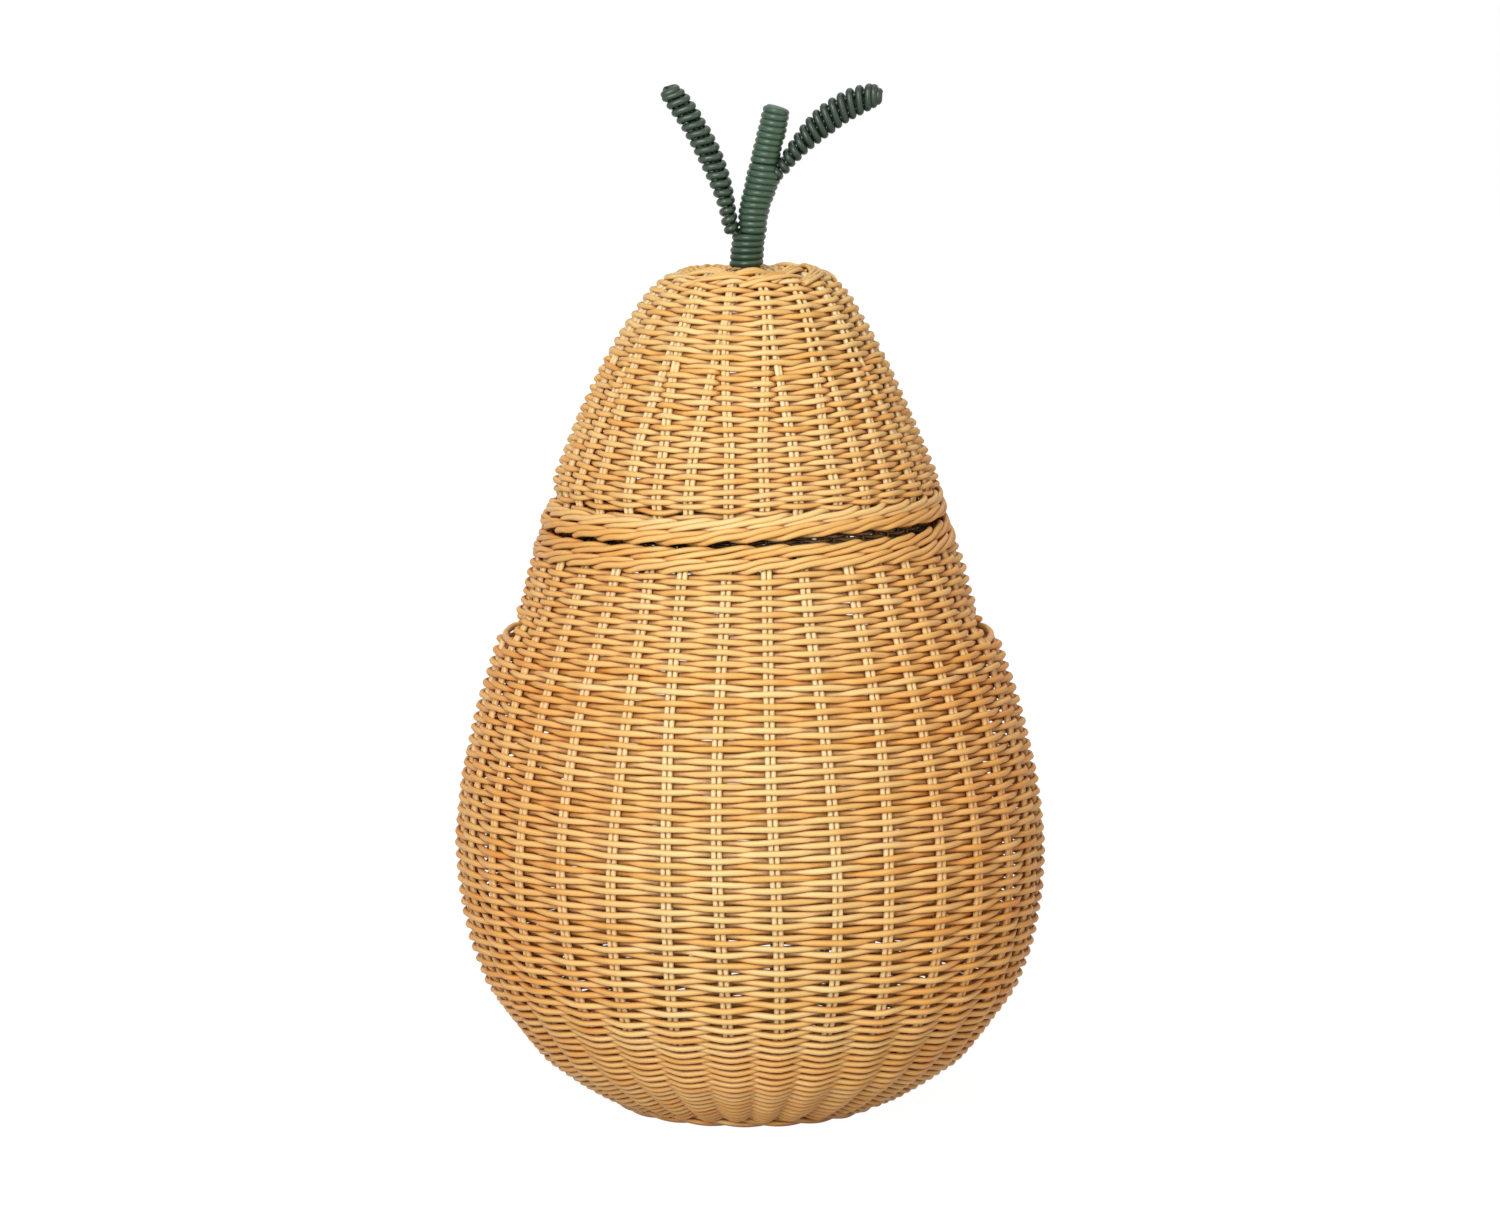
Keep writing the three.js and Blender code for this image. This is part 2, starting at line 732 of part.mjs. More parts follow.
// Leaves: a rib and one bent edge rod come up beside the stem's core, pass out between two
// windings and run along a bent line; side is -1 for the left leaf and 1 for the right
function leafLine(side, exit, reach, rise, bendReach, bendRise) {
  const beside = (length, distance) => {
    const { point, right } = stemFrame(length);
    return point.addScaledVector(right, side * distance);
  };
  const tail = coreRadius + clearance + rodRadius;
  const middle = tail + wrapRadius + clearance;
  const start = beside(exit + leafGap, tail + leafStandOff);
  const control = start.clone().add(new THREE.Vector3(side * bendReach, 0, bendRise));
  const tip = start.clone().add(new THREE.Vector3(side * reach, 0, rise));
  const blade = new THREE.QuadraticBezierCurve3(start, control, tip);
  const bound = [
    beside(exit - tailEnd, tail),
    beside(exit - tailEnd / 2, tail),
    beside(exit - leafGap, tail + tailEase),
    beside(exit, middle),
  ];
  const length = blade.getLength();
  return { side, blade, bound, length, tipShare: 1 - (leafTipSpread + leafCover) / length };
}

const leftLeaf = leafLine(
  -1, leftExit, leftLeafReach, leftLeafRise, leftLeafBendReach, leftLeafBendRise,
);
const rightLeaf = leafLine(
  1, rightExit, rightLeafReach, rightLeafRise, rightLeafBendReach, rightLeafBendRise,
);

// Half the distance between the edge rods at a share of the blade, side to side and front to back
function leafHalfWidths(share) {
  const taper = THREE.MathUtils.smoothstep(share, leafTaperStart, leafTaperEnd);
  const opening = THREE.MathUtils.smoothstep(share, 0, leafOpenShare);
  const across = leafSpread * opening - (leafSpread - leafTipSpread) * taper;
  const apart = rodDiameter + clearance;
  const deep = share < leafTaperStart ? Math.sqrt(Math.max(0, apart ** 2 - across ** 2)) : 0;
  return { across, deep };
}

function bladeFrame(leaf, share) {
  const along = leaf.blade.getTangentAt(share);
  return { point: leaf.blade.getPointAt(share), along, right: frontToBack.clone().cross(along) };
}

// Rib along the middle of the leaf; grow widens it for the channel in the weave
function makeRib(leaf, grow = 0) {
  const end = 1 - ribSetback / leaf.length;
  const points = leaf.bound.map((point) => point.clone());
  for (let i = 0; i <= bladePoints; i += 1) {
    points.push(bladeFrame(leaf, (end * i) / bladePoints).point);
  }
  return rodAlong(new THREE.CatmullRomCurve3(points), rodDiameter + 2 * grow, ribSteps, leafRodSides);
}

// Edge rod: up one side of the leaf, round its tip and down the other
function makeEdgeRod(leaf, grow = 0) {
  const apart = rodDiameter + clearance;
  const ringDistance = coreRadius + clearance + rodRadius;
  const legs = [1, -1].map((hand) => {
    const turn = 2 * Math.asin(apart / 2 / ringDistance);
    const inward = -leaf.side * ringDistance * (1 - Math.cos(turn));
    const points = leaf.bound.map((point, i) => {
      const beside = point.clone();
      beside.x += i < leaf.bound.length - 1 ? inward : inward / 2;
      return beside.addScaledVector(frontToBack, hand * apart);
    });
    for (let i = 0; i <= bladePoints; i += 1) {
      const share = (leaf.tipShare * i) / bladePoints;
      const { point, right } = bladeFrame(leaf, share);
      const { across, deep } = leafHalfWidths(share);
      point.addScaledVector(right, hand * across);
      points.push(point.addScaledVector(frontToBack, hand * deep));
    }
    points.push(hairpinPoint(leaf, hand * hairpinAngle));
    return points;
  });
  const path = new THREE.CatmullRomCurve3([...legs[0], hairpinPoint(leaf, 0), ...legs[1].reverse()]);
  return rodAlong(path, rodDiameter + 2 * grow, edgeRodSteps, leafRodSides);
}

// Point of the edge rod's turn at the tip, at an angle in degrees from the leaf's own line
function hairpinPoint(leaf, degrees) {
  const { point, along, right } = bladeFrame(leaf, leaf.tipShare);
  const angle = THREE.MathUtils.degToRad(degrees);
  point.addScaledVector(along, leafTipSpread * Math.cos(angle));
  return point.addScaledVector(right, leafTipSpread * Math.sin(angle));
}

// Weave of a leaf, with channels for the rib and the edge rod
function makeLeafWeave(leaf) {
  const start = leafBareLength / leaf.length;
  const rings = [];
  const addRing = (centre, right, width, depth) => {
    const across = right.clone().multiplyScalar(width);
    const through = frontToBack.clone().multiplyScalar(depth);
    rings.push(ringOfPoints(centre, across, through, leafWeaveSides));
  };
  for (let i = 0; i <= leafWeaveRings; i += 1) {
    const share = THREE.MathUtils.lerp(start, leaf.tipShare, i / leafWeaveRings);
    const { point, right } = bladeFrame(leaf, share);
    const { across, deep } = leafHalfWidths(share);
    addRing(point, right, across + leafCover, deep + leafCover);
  }
  const tipRadius = leafTipSpread + leafCover;
  for (const degrees of leafTipAngles) {
    const { point, along, right } = bladeFrame(leaf, leaf.tipShare);
    const angle = THREE.MathUtils.degToRad(degrees);
    point.addScaledVector(along, tipRadius * Math.sin(angle));
    addRing(point, right, tipRadius * Math.cos(angle), leafCover * Math.sqrt(Math.cos(angle)));
  }
  return cutFrom(skinOver(rings), [makeRib(leaf, clearance), makeEdgeRod(leaf, clearance)]);
}

// Finishes
function finish(color, roughness) {
  return () => new THREE.MeshStandardMaterial({ color, roughness, metalness: 0 });
}

const rattan = finish(0xdfae6c, 0.5);
const paleRattan = finish(0xf0d09a, 0.5);
const greenRattan = finish(0x3f5f47, 0.42);
const wood = finish(0xb98a52, 0.6);

function addPiece(group, name, geometry, material) {
  const mesh = new THREE.Mesh(welded(geometry), material());
  mesh.name = name;
  mesh.geometry.computeVertexNormals();
  group.add(mesh);
}

const body = new THREE.Group();
const lid = new THREE.Group();
const basket = new THREE.Group();
basket.add(body, lid);

const gripPanel = makeGripPanel();
addPiece(body, "foot_border", makeFootBorder(), rattan);
addPiece(body, "base_sticks", makeBaseSticks(), paleRattan);
addPiece(body, "base_weave", makeBaseWeave(), rattan);
addPiece(body, "bowl_siding", makeBowlSiding(), rattan);
addPiece(body, "belly_siding", makeBellySiding(), rattan);
addPiece(body, "front_grip_panel", gripPanel, rattan);
addPiece(body, "back_grip_panel", gripPanel.clone().rotateZ(Math.PI), rattan);
addPiece(body, "upper_siding", makeUpperSiding(), rattan);
for (const [name, side] of [["left", -1], ["right", 1]]) {
  addPiece(body, `${name}_grip_sill`, makeGripSill(side), rattan);
  addPiece(body, `${name}_grip_bar`, makeGripBar(side), rattan);
}
const bodyWaleHigh = bodyWaleLow + bodyWaleHeight;
addPiece(body, "body_wale", turned(rimProfile(bodyWaleLow, bodyWaleHigh, false, true)), rattan);
addPiece(body, "body_border", turned(rimProfile(bodyBorderLow, seamHeight, true, true)), rattan);

const lidBorderInside = collarRadius + clearance;
const lidBorderSection = rimProfile(lidBorderLow, lidBorderHigh, true, true, lidBorderInside);
addPiece(lid, "lid_collar", makeCollar(), rattan);
addPiece(lid, "lid_border", turned(lidBorderSection), rattan);
addPiece(lid, "lid_wale", turned(rimProfile(lidWaleLow, lidWaleHigh, true, false)), rattan);
addPiece(lid, "lid_lower_siding", wovenWall(lidWaleHigh + clearance, lidSplitHeight), rattan);
addPiece(lid, "lid_upper_siding", wovenWall(lidSplitHeight + clearance, lidTopHeight), rattan);
addPiece(lid, "crown_border", makeCrownBorder(), rattan);
addPiece(lid, "crown_weave", makeCrownWeave(), rattan);

addPiece(lid, "stem_core", makeStemCore(), wood);
addPiece(lid, "stem_peg", makePeg(pegDiameter, pegLength), wood);
const windings = [
  ["stem_wrap_base", baseWrapStart, baseWrapLoops, -1],
  ["stem_wrap_middle", middleWrapStart, middleWrapLoops, 1],
  ["stem_wrap_top", topWrapStart, topWrapLoops, 1],
];
for (const [name, start, loops, side] of windings) {
  addPiece(lid, name, makeWinding(name, start, loops, side), greenRattan);
}
for (const [name, leaf] of [["left", leftLeaf], ["right", rightLeaf]]) {
  addPiece(lid, `${name}_leaf_rib`, makeRib(leaf), greenRattan);
  addPiece(lid, `${name}_leaf_edge_rod`, makeEdgeRod(leaf), greenRattan);
  addPiece(lid, `${name}_leaf_weave`, makeLeafWeave(leaf), greenRattan);
}

export default basket;
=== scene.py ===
import math

import bmesh
import bpy
import numpy as np
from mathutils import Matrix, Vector
from mathutils.bvhtree import BVHTree


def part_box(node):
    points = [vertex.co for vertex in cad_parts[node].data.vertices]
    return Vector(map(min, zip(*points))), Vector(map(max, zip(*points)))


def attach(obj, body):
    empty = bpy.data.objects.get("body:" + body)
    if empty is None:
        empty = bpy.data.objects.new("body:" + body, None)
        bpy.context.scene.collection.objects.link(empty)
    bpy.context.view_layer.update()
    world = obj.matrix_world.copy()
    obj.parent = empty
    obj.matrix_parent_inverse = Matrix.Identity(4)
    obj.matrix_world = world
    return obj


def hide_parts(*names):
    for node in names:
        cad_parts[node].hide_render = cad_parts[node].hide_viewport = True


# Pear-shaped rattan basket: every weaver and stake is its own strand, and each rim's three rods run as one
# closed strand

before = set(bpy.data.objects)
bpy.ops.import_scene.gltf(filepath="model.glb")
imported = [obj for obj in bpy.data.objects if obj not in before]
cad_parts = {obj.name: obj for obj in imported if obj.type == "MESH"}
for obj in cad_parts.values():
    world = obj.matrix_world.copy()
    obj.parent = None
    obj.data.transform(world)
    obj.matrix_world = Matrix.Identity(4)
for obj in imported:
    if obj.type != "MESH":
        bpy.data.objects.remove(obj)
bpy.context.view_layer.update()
fullTurn = 2 * math.pi
chance = np.random.RandomState(11)
print("frame loaded")

# Camera at the photo's angle, with a long lens

photoView = {
    "viewWidth": 0.855,  # metres across the picture at the basket's middle
    "distance": 4.0,
    "elevation": 8.0,
    "aimRight": 0.0009,
    "aimHeight": 0.2882,
    "sensorWidth": 36.0,
    "clipEnd": 50,
}


def addObject(name, data):
    added = bpy.data.objects.new(name, data)
    bpy.context.scene.collection.objects.link(added)
    return added


def addCamera(view):
    data = bpy.data.cameras.new("photoCamera")
    data.sensor_width = view["sensorWidth"]
    data.lens = view["sensorWidth"] * view["distance"] / view["viewWidth"]
    data.clip_end = view["clipEnd"]
    camera = addObject("photoCamera", data)
    tilt = math.radians(view["elevation"])
    away = Vector((0, -math.cos(tilt), math.sin(tilt)))
    camera.location = Vector((view["aimRight"], 0, view["aimHeight"])) + away * view["distance"]
    camera.rotation_euler = (-away).to_track_quat("-Z", "Y").to_euler()
    bpy.context.scene.camera = camera


addCamera(photoView)

# Shader helpers


def newMaterial(name):
    material = bpy.data.materials.new(name)
    material.use_nodes = True
    tree = material.node_tree
    return material, tree, tree.nodes["Principled BSDF"]


def addNode(tree, kind, inputs=None, **settings):
    node = tree.nodes.new("ShaderNode" + kind)
    for key, value in settings.items():
        setattr(node, key, value)
    for key, value in (inputs or {}).items():
        if isinstance(value, bpy.types.NodeSocket):
            tree.links.new(value, node.inputs[key])
        else:
            node.inputs[key].default_value = value
    return node


def mixColors(tree, share, first, second, blend="MIX"):
    inputs = {"Factor": share, 6: first, 7: second}
    return addNode(tree, "Mix", inputs, data_type="RGBA", blend_type=blend).outputs[2]


def remap(tree, value, toLow, toHigh, fromLow=0.3, fromHigh=0.7):  # noise lies mostly in this range
    inputs = {"Value": value, "From Min": fromLow, "From Max": fromHigh, "To Min": toLow, "To Max": toHigh}
    return addNode(tree, "MapRange", inputs).outputs["Result"]


def maths(tree, operation, *values):
    return addNode(tree, "Math", dict(enumerate(values)), operation=operation).outputs[0]


def linear(red, green, blue):  # linear colour of an sRGB one
    values = (red, green, blue)
    return (*(v / 12.92 if v <= 0.04045 else ((v + 0.055) / 1.055) ** 2.4 for v in values), 1)


# Rattan: a tone for each strand, blotches along it and fine lengthwise grain, with painted shade in the
# crevices and on the sides, and painted floor bounce at the foot

rattanLook = {  # its colours are sRGB
    "light": (0.99, 0.87, 0.62),
    "middle": (0.975, 0.825, 0.525),
    "deep": (0.92, 0.69, 0.35),
    "fibre": (0.8, 0.5, 0.19),
    # painted shade: the colour mixed into the crevices between rods where ambient occlusion finds them
    "paintedCreviceShade": (0.53, 0.2, 0.0),
    "paintedWarmTint": (1.0, 0.8, 0.6, 1),  # painted shade and painted floor bounce: a warm tint multiplied into the sides and the foot
    "paintedSideShadeReach": (0.04, 0.135),  # distances from the middle over which the painted side shade sets in
    "lowReach": (0.08, 0.02),  # heights over which the foot takes on some of the tint, as painted floor bounce
    "paintedFloorBounceShare": 0.65,
    "paintedCreviceShadeReach": 0.004,
    "paintedCreviceShadeSamples": 3,
    "paintedCreviceShadeShare": (0.07, 0.88),  # painted crevice shade: share of openness, from darkest to plain
    "blotchScale": 38,
    "blotchDetail": 2,
    "blotchShare": 0.65,
    "grainScale": (1500, 1500, 60),
    "grainDetail": 3,
    "grainRoughness": 0.6,
    "grainShare": 0.32,
    "grainBand": (0.45, 0.8),  # of the noise, over which the fibres show
    "roughness": (0.42, 0.6),
    "bumpHeight": 0.00012,
    "bumpStrength": 0.6,
}
paleLook = dict(
    rattanLook,
    light=(0.99, 0.93, 0.76),
    middle=(0.98, 0.9, 0.69),
    deep=(0.96, 0.85, 0.6),
    fibre=(0.87, 0.69, 0.43),
    # painted shade in the stakes' crevices
    paintedCreviceShade=(0.74, 0.52, 0.27),
    paintedCreviceShadeReach=0.003,
    paintedCreviceShadeShare=(0.0, 0.6),
    grainShare=0.22,
)
greenLook = dict(
    rattanLook,
    light=(0.30, 0.42, 0.33),
    middle=(0.22, 0.33, 0.25),
    deep=(0.16, 0.26, 0.19),
    fibre=(0.11, 0.18, 0.13),
    # painted shade in the crevices
    paintedCreviceShade=(0.06, 0.10, 0.07),
    paintedWarmTint=(1, 1, 1, 1),
    grainShare=0.4,
    roughness=(0.3, 0.44),
)
collarShadeLook = dict(  # painted shade: ambient occlusion over a long reach darkens the collar while the lid shuts it in
    rattanLook,
    paintedCreviceShade=(0.16, 0.08, 0.03),
    paintedCreviceShadeReach=0.03,
    paintedCreviceShadeShare=(0.3, 0.62),
)
leafLook = dict(
    greenLook,
    light=(0.22, 0.31, 0.235),
    middle=(0.155, 0.235, 0.175),
    deep=(0.115, 0.185, 0.138),
)
woodLook = dict(
    rattanLook,
    light=(0.80, 0.64, 0.44),
    middle=(0.72, 0.55, 0.35),
    deep=(0.62, 0.45, 0.27),
    fibre=(0.48, 0.33, 0.18),
    grainShare=0.5,
    roughness=(0.6, 0.75),
)


def rattanMaterial(name, look):
    material, tree, shader = newMaterial(name)
    look = look | {color: linear(*look[color]) for color in ("light", "middle", "deep", "fibre", "paintedCreviceShade")}
    tone = addNode(tree, "Attribute", attribute_name="tone").outputs["Fac"]
    place = addNode(tree, "Attribute", attribute_name="grain").outputs["Vector"]
    along = addNode(tree, "SeparateXYZ", {"Vector": place}).outputs["Z"]
    blotches = {"W": along, "Scale": look["blotchScale"], "Detail": look["blotchDetail"]}
    blotch = addNode(tree, "TexNoise", blotches, noise_dimensions="1D").outputs["Fac"]
    stretched = addNode(tree, "Mapping", {"Vector": place, "Scale": look["grainScale"]}).outputs["Vector"]
    fibres = {"Scale": 1, "Detail": look["grainDetail"], "Roughness": look["grainRoughness"]}
    grain = addNode(tree, "TexNoise", {"Vector": stretched, **fibres}).outputs["Fac"]
    color = mixColors(tree, remap(tree, tone, 0, 1, 0, 1), look["deep"], look["light"])
    color = mixColors(tree, remap(tree, blotch, 0, look["blotchShare"]), color, look["middle"])
    fibreShare = remap(tree, grain, 0, look["grainShare"], *look["grainBand"])
    color = mixColors(tree, fibreShare, color, look["fibre"])
    # painted shade: ambient occlusion mixes the crevice colour into the crevices between rods
    reach = {"Distance": look["paintedCreviceShadeReach"]}
    paintedCreviceShade = addNode(tree, "AmbientOcclusion", reach, samples=look["paintedCreviceShadeSamples"]).outputs["AO"]
    share = remap(tree, paintedCreviceShade, 0, 1, *look["paintedCreviceShadeShare"])
    color = mixColors(tree, share, look["paintedCreviceShade"], color)
    # painted shade on the left and right sides and painted floor bounce at the foot, multiplied in as a warm
    # tint
    place = addNode(tree, "TexCoord").outputs["Object"]
    place = addNode(tree, "SeparateXYZ", {"Vector": place}).outputs
    paintedSideShade = remap(tree, maths(tree, "ABSOLUTE", place["X"]), 0, 1, *look["paintedSideShadeReach"])
    paintedFloorBounce = remap(tree, place["Z"], 0, look["paintedFloorBounceShare"], *look["lowReach"])
    color = mixColors(tree, maths(tree, "MAXIMUM", paintedSideShade, paintedFloorBounce), color, look["paintedWarmTint"], "MULTIPLY")
    tree.links.new(color, shader.inputs["Base Color"])
    tree.links.new(remap(tree, grain, *look["roughness"]), shader.inputs["Roughness"])
    relief = {"Height": grain, "Distance": look["bumpHeight"], "Strength": look["bumpStrength"]}
    bump = addNode(tree, "Bump", relief)
    tree.links.new(bump.outputs["Normal"], shader.inputs["Normal"])
    return material


weaverRattan = rattanMaterial("weaverRattan", rattanLook)
stakeRattan = rattanMaterial("stakeRattan", paleLook)
greenRattan = rattanMaterial("greenRattan", greenLook)
leafRattan = rattanMaterial("leafRattan", leafLook)
collarShadedRattan = rattanMaterial("collarShadedRattan", collarShadeLook)
stemWood = rattanMaterial("stemWood", woodLook)
print("materials made")

# Lines of points


def runLengths(points):
    return np.concatenate([[0], np.cumsum(np.linalg.norm(np.diff(points, axis=0), axis=1))])


def directions(points):
    steps = np.gradient(points, axis=0)
    return steps / np.linalg.norm(steps, axis=1)[:, None]


def lineAt(at, lengths, line):  # points of a line at lengths along it
    return np.stack([np.interp(at, lengths, line[:, k]) for k in range(line.shape[1])], -1)


def roundPoints(radius, turn, height):  # about the middle of the basket
    height = np.broadcast_to(height, np.shape(turn))
    return np.stack([radius * np.cos(turn), radius * np.sin(turn), height], -1)


def smoothStep(value, low, high):
    share = np.clip((value - low) / (high - low), 0, 1)
    return share * share * (3 - 2 * share)


# Strands: round rods along lists of points, as one mesh with tone and grain attributes


def strand(points, diameter, tone, closed=False):
    points = np.asarray(points, float)
    diameters = np.broadcast_to(np.asarray(diameter, float), (len(points),))
    return {"points": points, "diameters": diameters, "tone": tone, "closed": closed}


grainShift = 7  # metres of grain that a strand's own number moves it by
mergeDistance = 1e-7


def strandAttributes(strands, sides):  # each strand's tone, and its points' places across and along it
    tones, grains = [], []
    turn = np.arange(sides) * fullTurn / sides
    for item in strands:
        along = runLengths(item["points"]) + item["tone"] * grainShift
        radii = item["diameters"] / 2
        around = np.stack([np.cos(turn), np.sin(turn)], -1)[None] * radii[:, None, None]
        length = np.broadcast_to(along[:, None, None], (len(radii), sides, 1))
        grains.append(np.concatenate([around, length], -1))
        tones.append(np.full((len(radii), sides), item["tone"] % 1.0))
    return tones, grains


def strandPiece(name, strands, material, body, nodes=(), sides=8):
    curve = bpy.data.curves.new(name, "CURVE")
    curve.dimensions = "3D"
    curve.bevel_depth = 1
    curve.bevel_resolution = sides // 2 - 2
    curve.use_fill_caps = True
    for item in strands:
        spline = curve.splines.new("POLY")
        spline.points.add(len(item["points"]) - 1)
        corners = np.column_stack([item["points"], np.ones(len(item["points"]))])
        spline.points.foreach_set("co", corners.ravel())
        spline.points.foreach_set("radius", item["diameters"] / 2)
        spline.use_cyclic_u = item["closed"]
    form = addObject(name + "_form", curve)
    mesh = bpy.data.meshes.new_from_object(form)
    bpy.data.objects.remove(form)
    tones, grains = strandAttributes(strands, sides)
    # the mesh holds the caps first, from the last strand to the first
    loose = [k for k in reversed(range(len(strands))) if not strands[k]["closed"]]
    caps = [(k, end) for k in loose for end in (-1, 0)]
    for title, kind, key, values in (
        ("tone", "FLOAT", "value", tones), ("grain", "FLOAT_VECTOR", "vector", grains),
    ):
        flat = [values[k][end].ravel() for k, end in caps] + [own.ravel() for own in values]
        data = mesh.attributes.new(title, kind, "POINT").data
        data.foreach_set(key, np.concatenate(flat).astype(np.float32))
    shape = bmesh.new()
    shape.from_mesh(mesh)
    bmesh.ops.remove_doubles(shape, verts=shape.verts, dist=mergeDistance)
    for face in shape.faces:
        face.smooth = len(face.verts) == 4  # the caps stay flat
    shape.to_mesh(mesh)
    shape.free()
    mesh.materials.clear()
    mesh.materials.append(material)
    piece = addObject(name, mesh)
    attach(piece, body)
    if nodes:
        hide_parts(*nodes)
    print(name, len(strands), "strands", len(mesh.polygons) * 2, "triangles")


# Outline of the pear: a ridge of the CAD walls, read by rays and smoothed along its length

outlineSettings = {
    "walls": (
        "bowl_siding", "belly_siding", "front_grip_panel",
        "upper_siding", "lid_lower_siding", "lid_upper_siding",
    ),
    "rayStep": 0.001,
    "rayStart": 0.5,
    "firstRay": 1e-5,  # above the wall's lower edge
    "rayAngle": math.radians(24.51 * 360 / 32),  # along a ridge, just beside its crease
    "smoothing": 0.014,
    "extension": 0.03,  # past both ends, along the slope
    "edgeSteps": 10,  # over which that slope is taken
    "domeLine": (  # the lid's top, where the wall curves in
        (0.0604, 0.4645), (0.057, 0.4685), (0.0526, 0.4725), (0.048, 0.4763),
        (0.0434, 0.4793), (0.038, 0.4818), (0.032, 0.4836),
    ),
    "lean": (  # height, and how far the wall stands to the right
        (0.0, 0.0014), (0.04, 0.0028), (0.16, 0.0009), (0.24, 0.0002), (0.3, -0.0005), (0.35, -0.0012),
        (0.4, -0.002), (0.44, -0.0015), (0.465, -0.0003), (0.49, 0),
    ),
    "standOut": (  # height, and how far the woven face stands out from the ridges
        (0, 0.0012), (0.03, 0.003), (0.06, 0.0028), (0.1, 0.0022), (0.235, 0.002), (0.262, 0.0009),
    ),
    "domeTilt": 0.055,  # slope by which the top of the dome leans to the front
    "domeTiltReach": (0.462, 0.482),  # heights over which it sets in
}


def readOutline(settings):
    graph = bpy.context.evaluated_depsgraph_get()
    trees = [BVHTree.FromObject(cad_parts[name], graph) for name in settings["walls"]]
    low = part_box("bowl_siding")[0].z
    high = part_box("lid_upper_siding")[1].z
    found = []
    out = Vector((math.cos(settings["rayAngle"]), math.sin(settings["rayAngle"]), 0))
    for height in np.arange(low + settings["firstRay"], high, settings["rayStep"]):
        start = out * settings["rayStart"] + Vector((0, 0, height))
        hits = [tree.ray_cast(start, -out, settings["rayStart"])[0] for tree in trees]
        radii = [hit.xy.length for hit in hits if hit is not None]
        if radii and height < settings["domeLine"][0][1] - 2 * settings["rayStep"]:
            found.append((max(radii), height))
    found = np.array(found + list(settings["domeLine"]))
    lengths = runLengths(found)
    points = lineAt(np.arange(0, lengths[-1], settings["rayStep"]), lengths, found)
    extra = int(settings["extension"] / settings["rayStep"])
    edge = settings["edgeSteps"]
    lead = (points[0] - points[edge]) / edge
    tail = (points[-1] - points[-1 - edge]) / edge
    points = np.concatenate([
        points[0] + lead * np.arange(extra, 0, -1)[:, None],
        points,
        points[-1] + tail * np.arange(1, extra + 1)[:, None],
    ])
    reach = int(settings["smoothing"] / settings["rayStep"])
    weights = np.hanning(2 * reach + 1)
    weights /= weights.sum()
    padded = np.pad(points, ((reach, reach), (0, 0)), mode="reflect", reflect_type="odd")
    smooth = np.stack([np.convolve(padded[:, k], weights, "valid") for k in (0, 1)], -1)
    slope = directions(smooth)
    return {
        "length": runLengths(smooth) - settings["extension"],
        "radius": smooth[:, 0],
        "height": smooth[:, 1],
        "normalOut": slope[:, 1],
        "normalUp": -slope[:, 0],
        "leanBack": -slope[:, 0] / slope[:, 1],
    }


outline = readOutline(outlineSettings)


def lengthAt(height):  # length along the outline at a height
    return float(np.interp(height, outline["height"], outline["length"]))


def outlineAt(name, length):
    return np.interp(length, outline["length"], outline[name])


# The wall swells out under each finger slot and draws in above it

grip = {
    "sillHeight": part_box("belly_siding")[1].z,
    "topHeight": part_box("front_grip_panel")[1].z,
    "halfLength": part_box("back_grip_panel")[0].y,
    "swell": 0.0012,
    "tuck": 0.0035,
    "reach": 0.026,
    "fade": math.radians(22),
}
grip["halfAngle"] = math.asin(grip["halfLength"] / outlineAt("radius", lengthAt(grip["sillHeight"])))


def gripShift(angle, height):
    fromSide = np.arctan2(np.abs(np.sin(angle)), np.abs(np.cos(angle)))
    along = 1 - smoothStep(fromSide, grip["halfAngle"], grip["halfAngle"] + grip["fade"])
    below = 1 - smoothStep(grip["sillHeight"] - height, 0, grip["reach"])
    above = 1 - smoothStep(height - grip["topHeight"], 0, grip["reach"])
    up = np.clip((height - grip["sillHeight"]) / (grip["topHeight"] - grip["sillHeight"]), 0, 1)
    return along * (grip["swell"] * below * (1 - up) - grip["tuck"] * above * up)


def wallPoints(angle, length, depth):  # depth is outwards from the outline, so rods have it negative
    height = outlineAt("height", length)
    depth = depth + np.interp(height, *np.transpose(outlineSettings["standOut"]))
    radius = outlineAt("radius", length) + gripShift(angle, height) + depth * outlineAt("normalOut", length)
    height = height + depth * outlineAt("normalUp", length)
    tilt = outlineSettings["domeTilt"] * smoothStep(height, *outlineSettings["domeTiltReach"])
    height = height - tilt * radius * np.sin(angle)
    lean = np.interp(height, *np.transpose(outlineSettings["lean"]))
    return np.stack([lean + radius * np.cos(angle), radius * np.sin(angle), height], -1)


# Stakes: pairs up the body, and under the crown groups of four that part into pairs further down

weave = {
    "stakeCount": 32,  # pairs
    "stakeDiameter": 0.0031,
    "stakeOut": 0.0005,  # by which they stand in front of the middle of the wall
    "weaverDiameter": 0.0036,
    "swingShare": 0.94,  # of the weavers' way in and out that would just clear the stakes
    "straightness": 0.05,  # of the weavers between the stakes
    "rowPitch": 0.0034,
    "upperPitch": 0.00325,  # above the slots
    "lidPitch": 0.0031,
    "lidShare": 0.93,  # the lid's weavers are this much slimmer
    "footRowPitch": 0.0026,  # rows lie tighter where the bowl curves in to the foot
    "tightBelow": 0.045,  # height up to which they do, and above which they ease
    "easyAbove": 0.085,
    "angleJitter": math.radians(0.7),
    "driftPitch": 18,  # radians of a pair's drift for each metre up
    "waves": ((2, 20), (3, -31), (5, 43)),  # round and up the wall, shared by neighbouring rows
    "waveHeight": 0.00045,
    "rowWobble": 0.0001,  # each row's own
    "slants": ((11, 170), (17, -230), (23, 290), (31, -360)),  # shorter waves, which slant the rods
    "slantHeight": 0.00017,
    "settle": 0.5,  # share by which a rod in front drops on a wall that leans back
    "settleLimit": 0.14,
    "diameterSpread": 0.04,
    "toneRange": 40,  # of the number that gives a strand its tone and grain
}
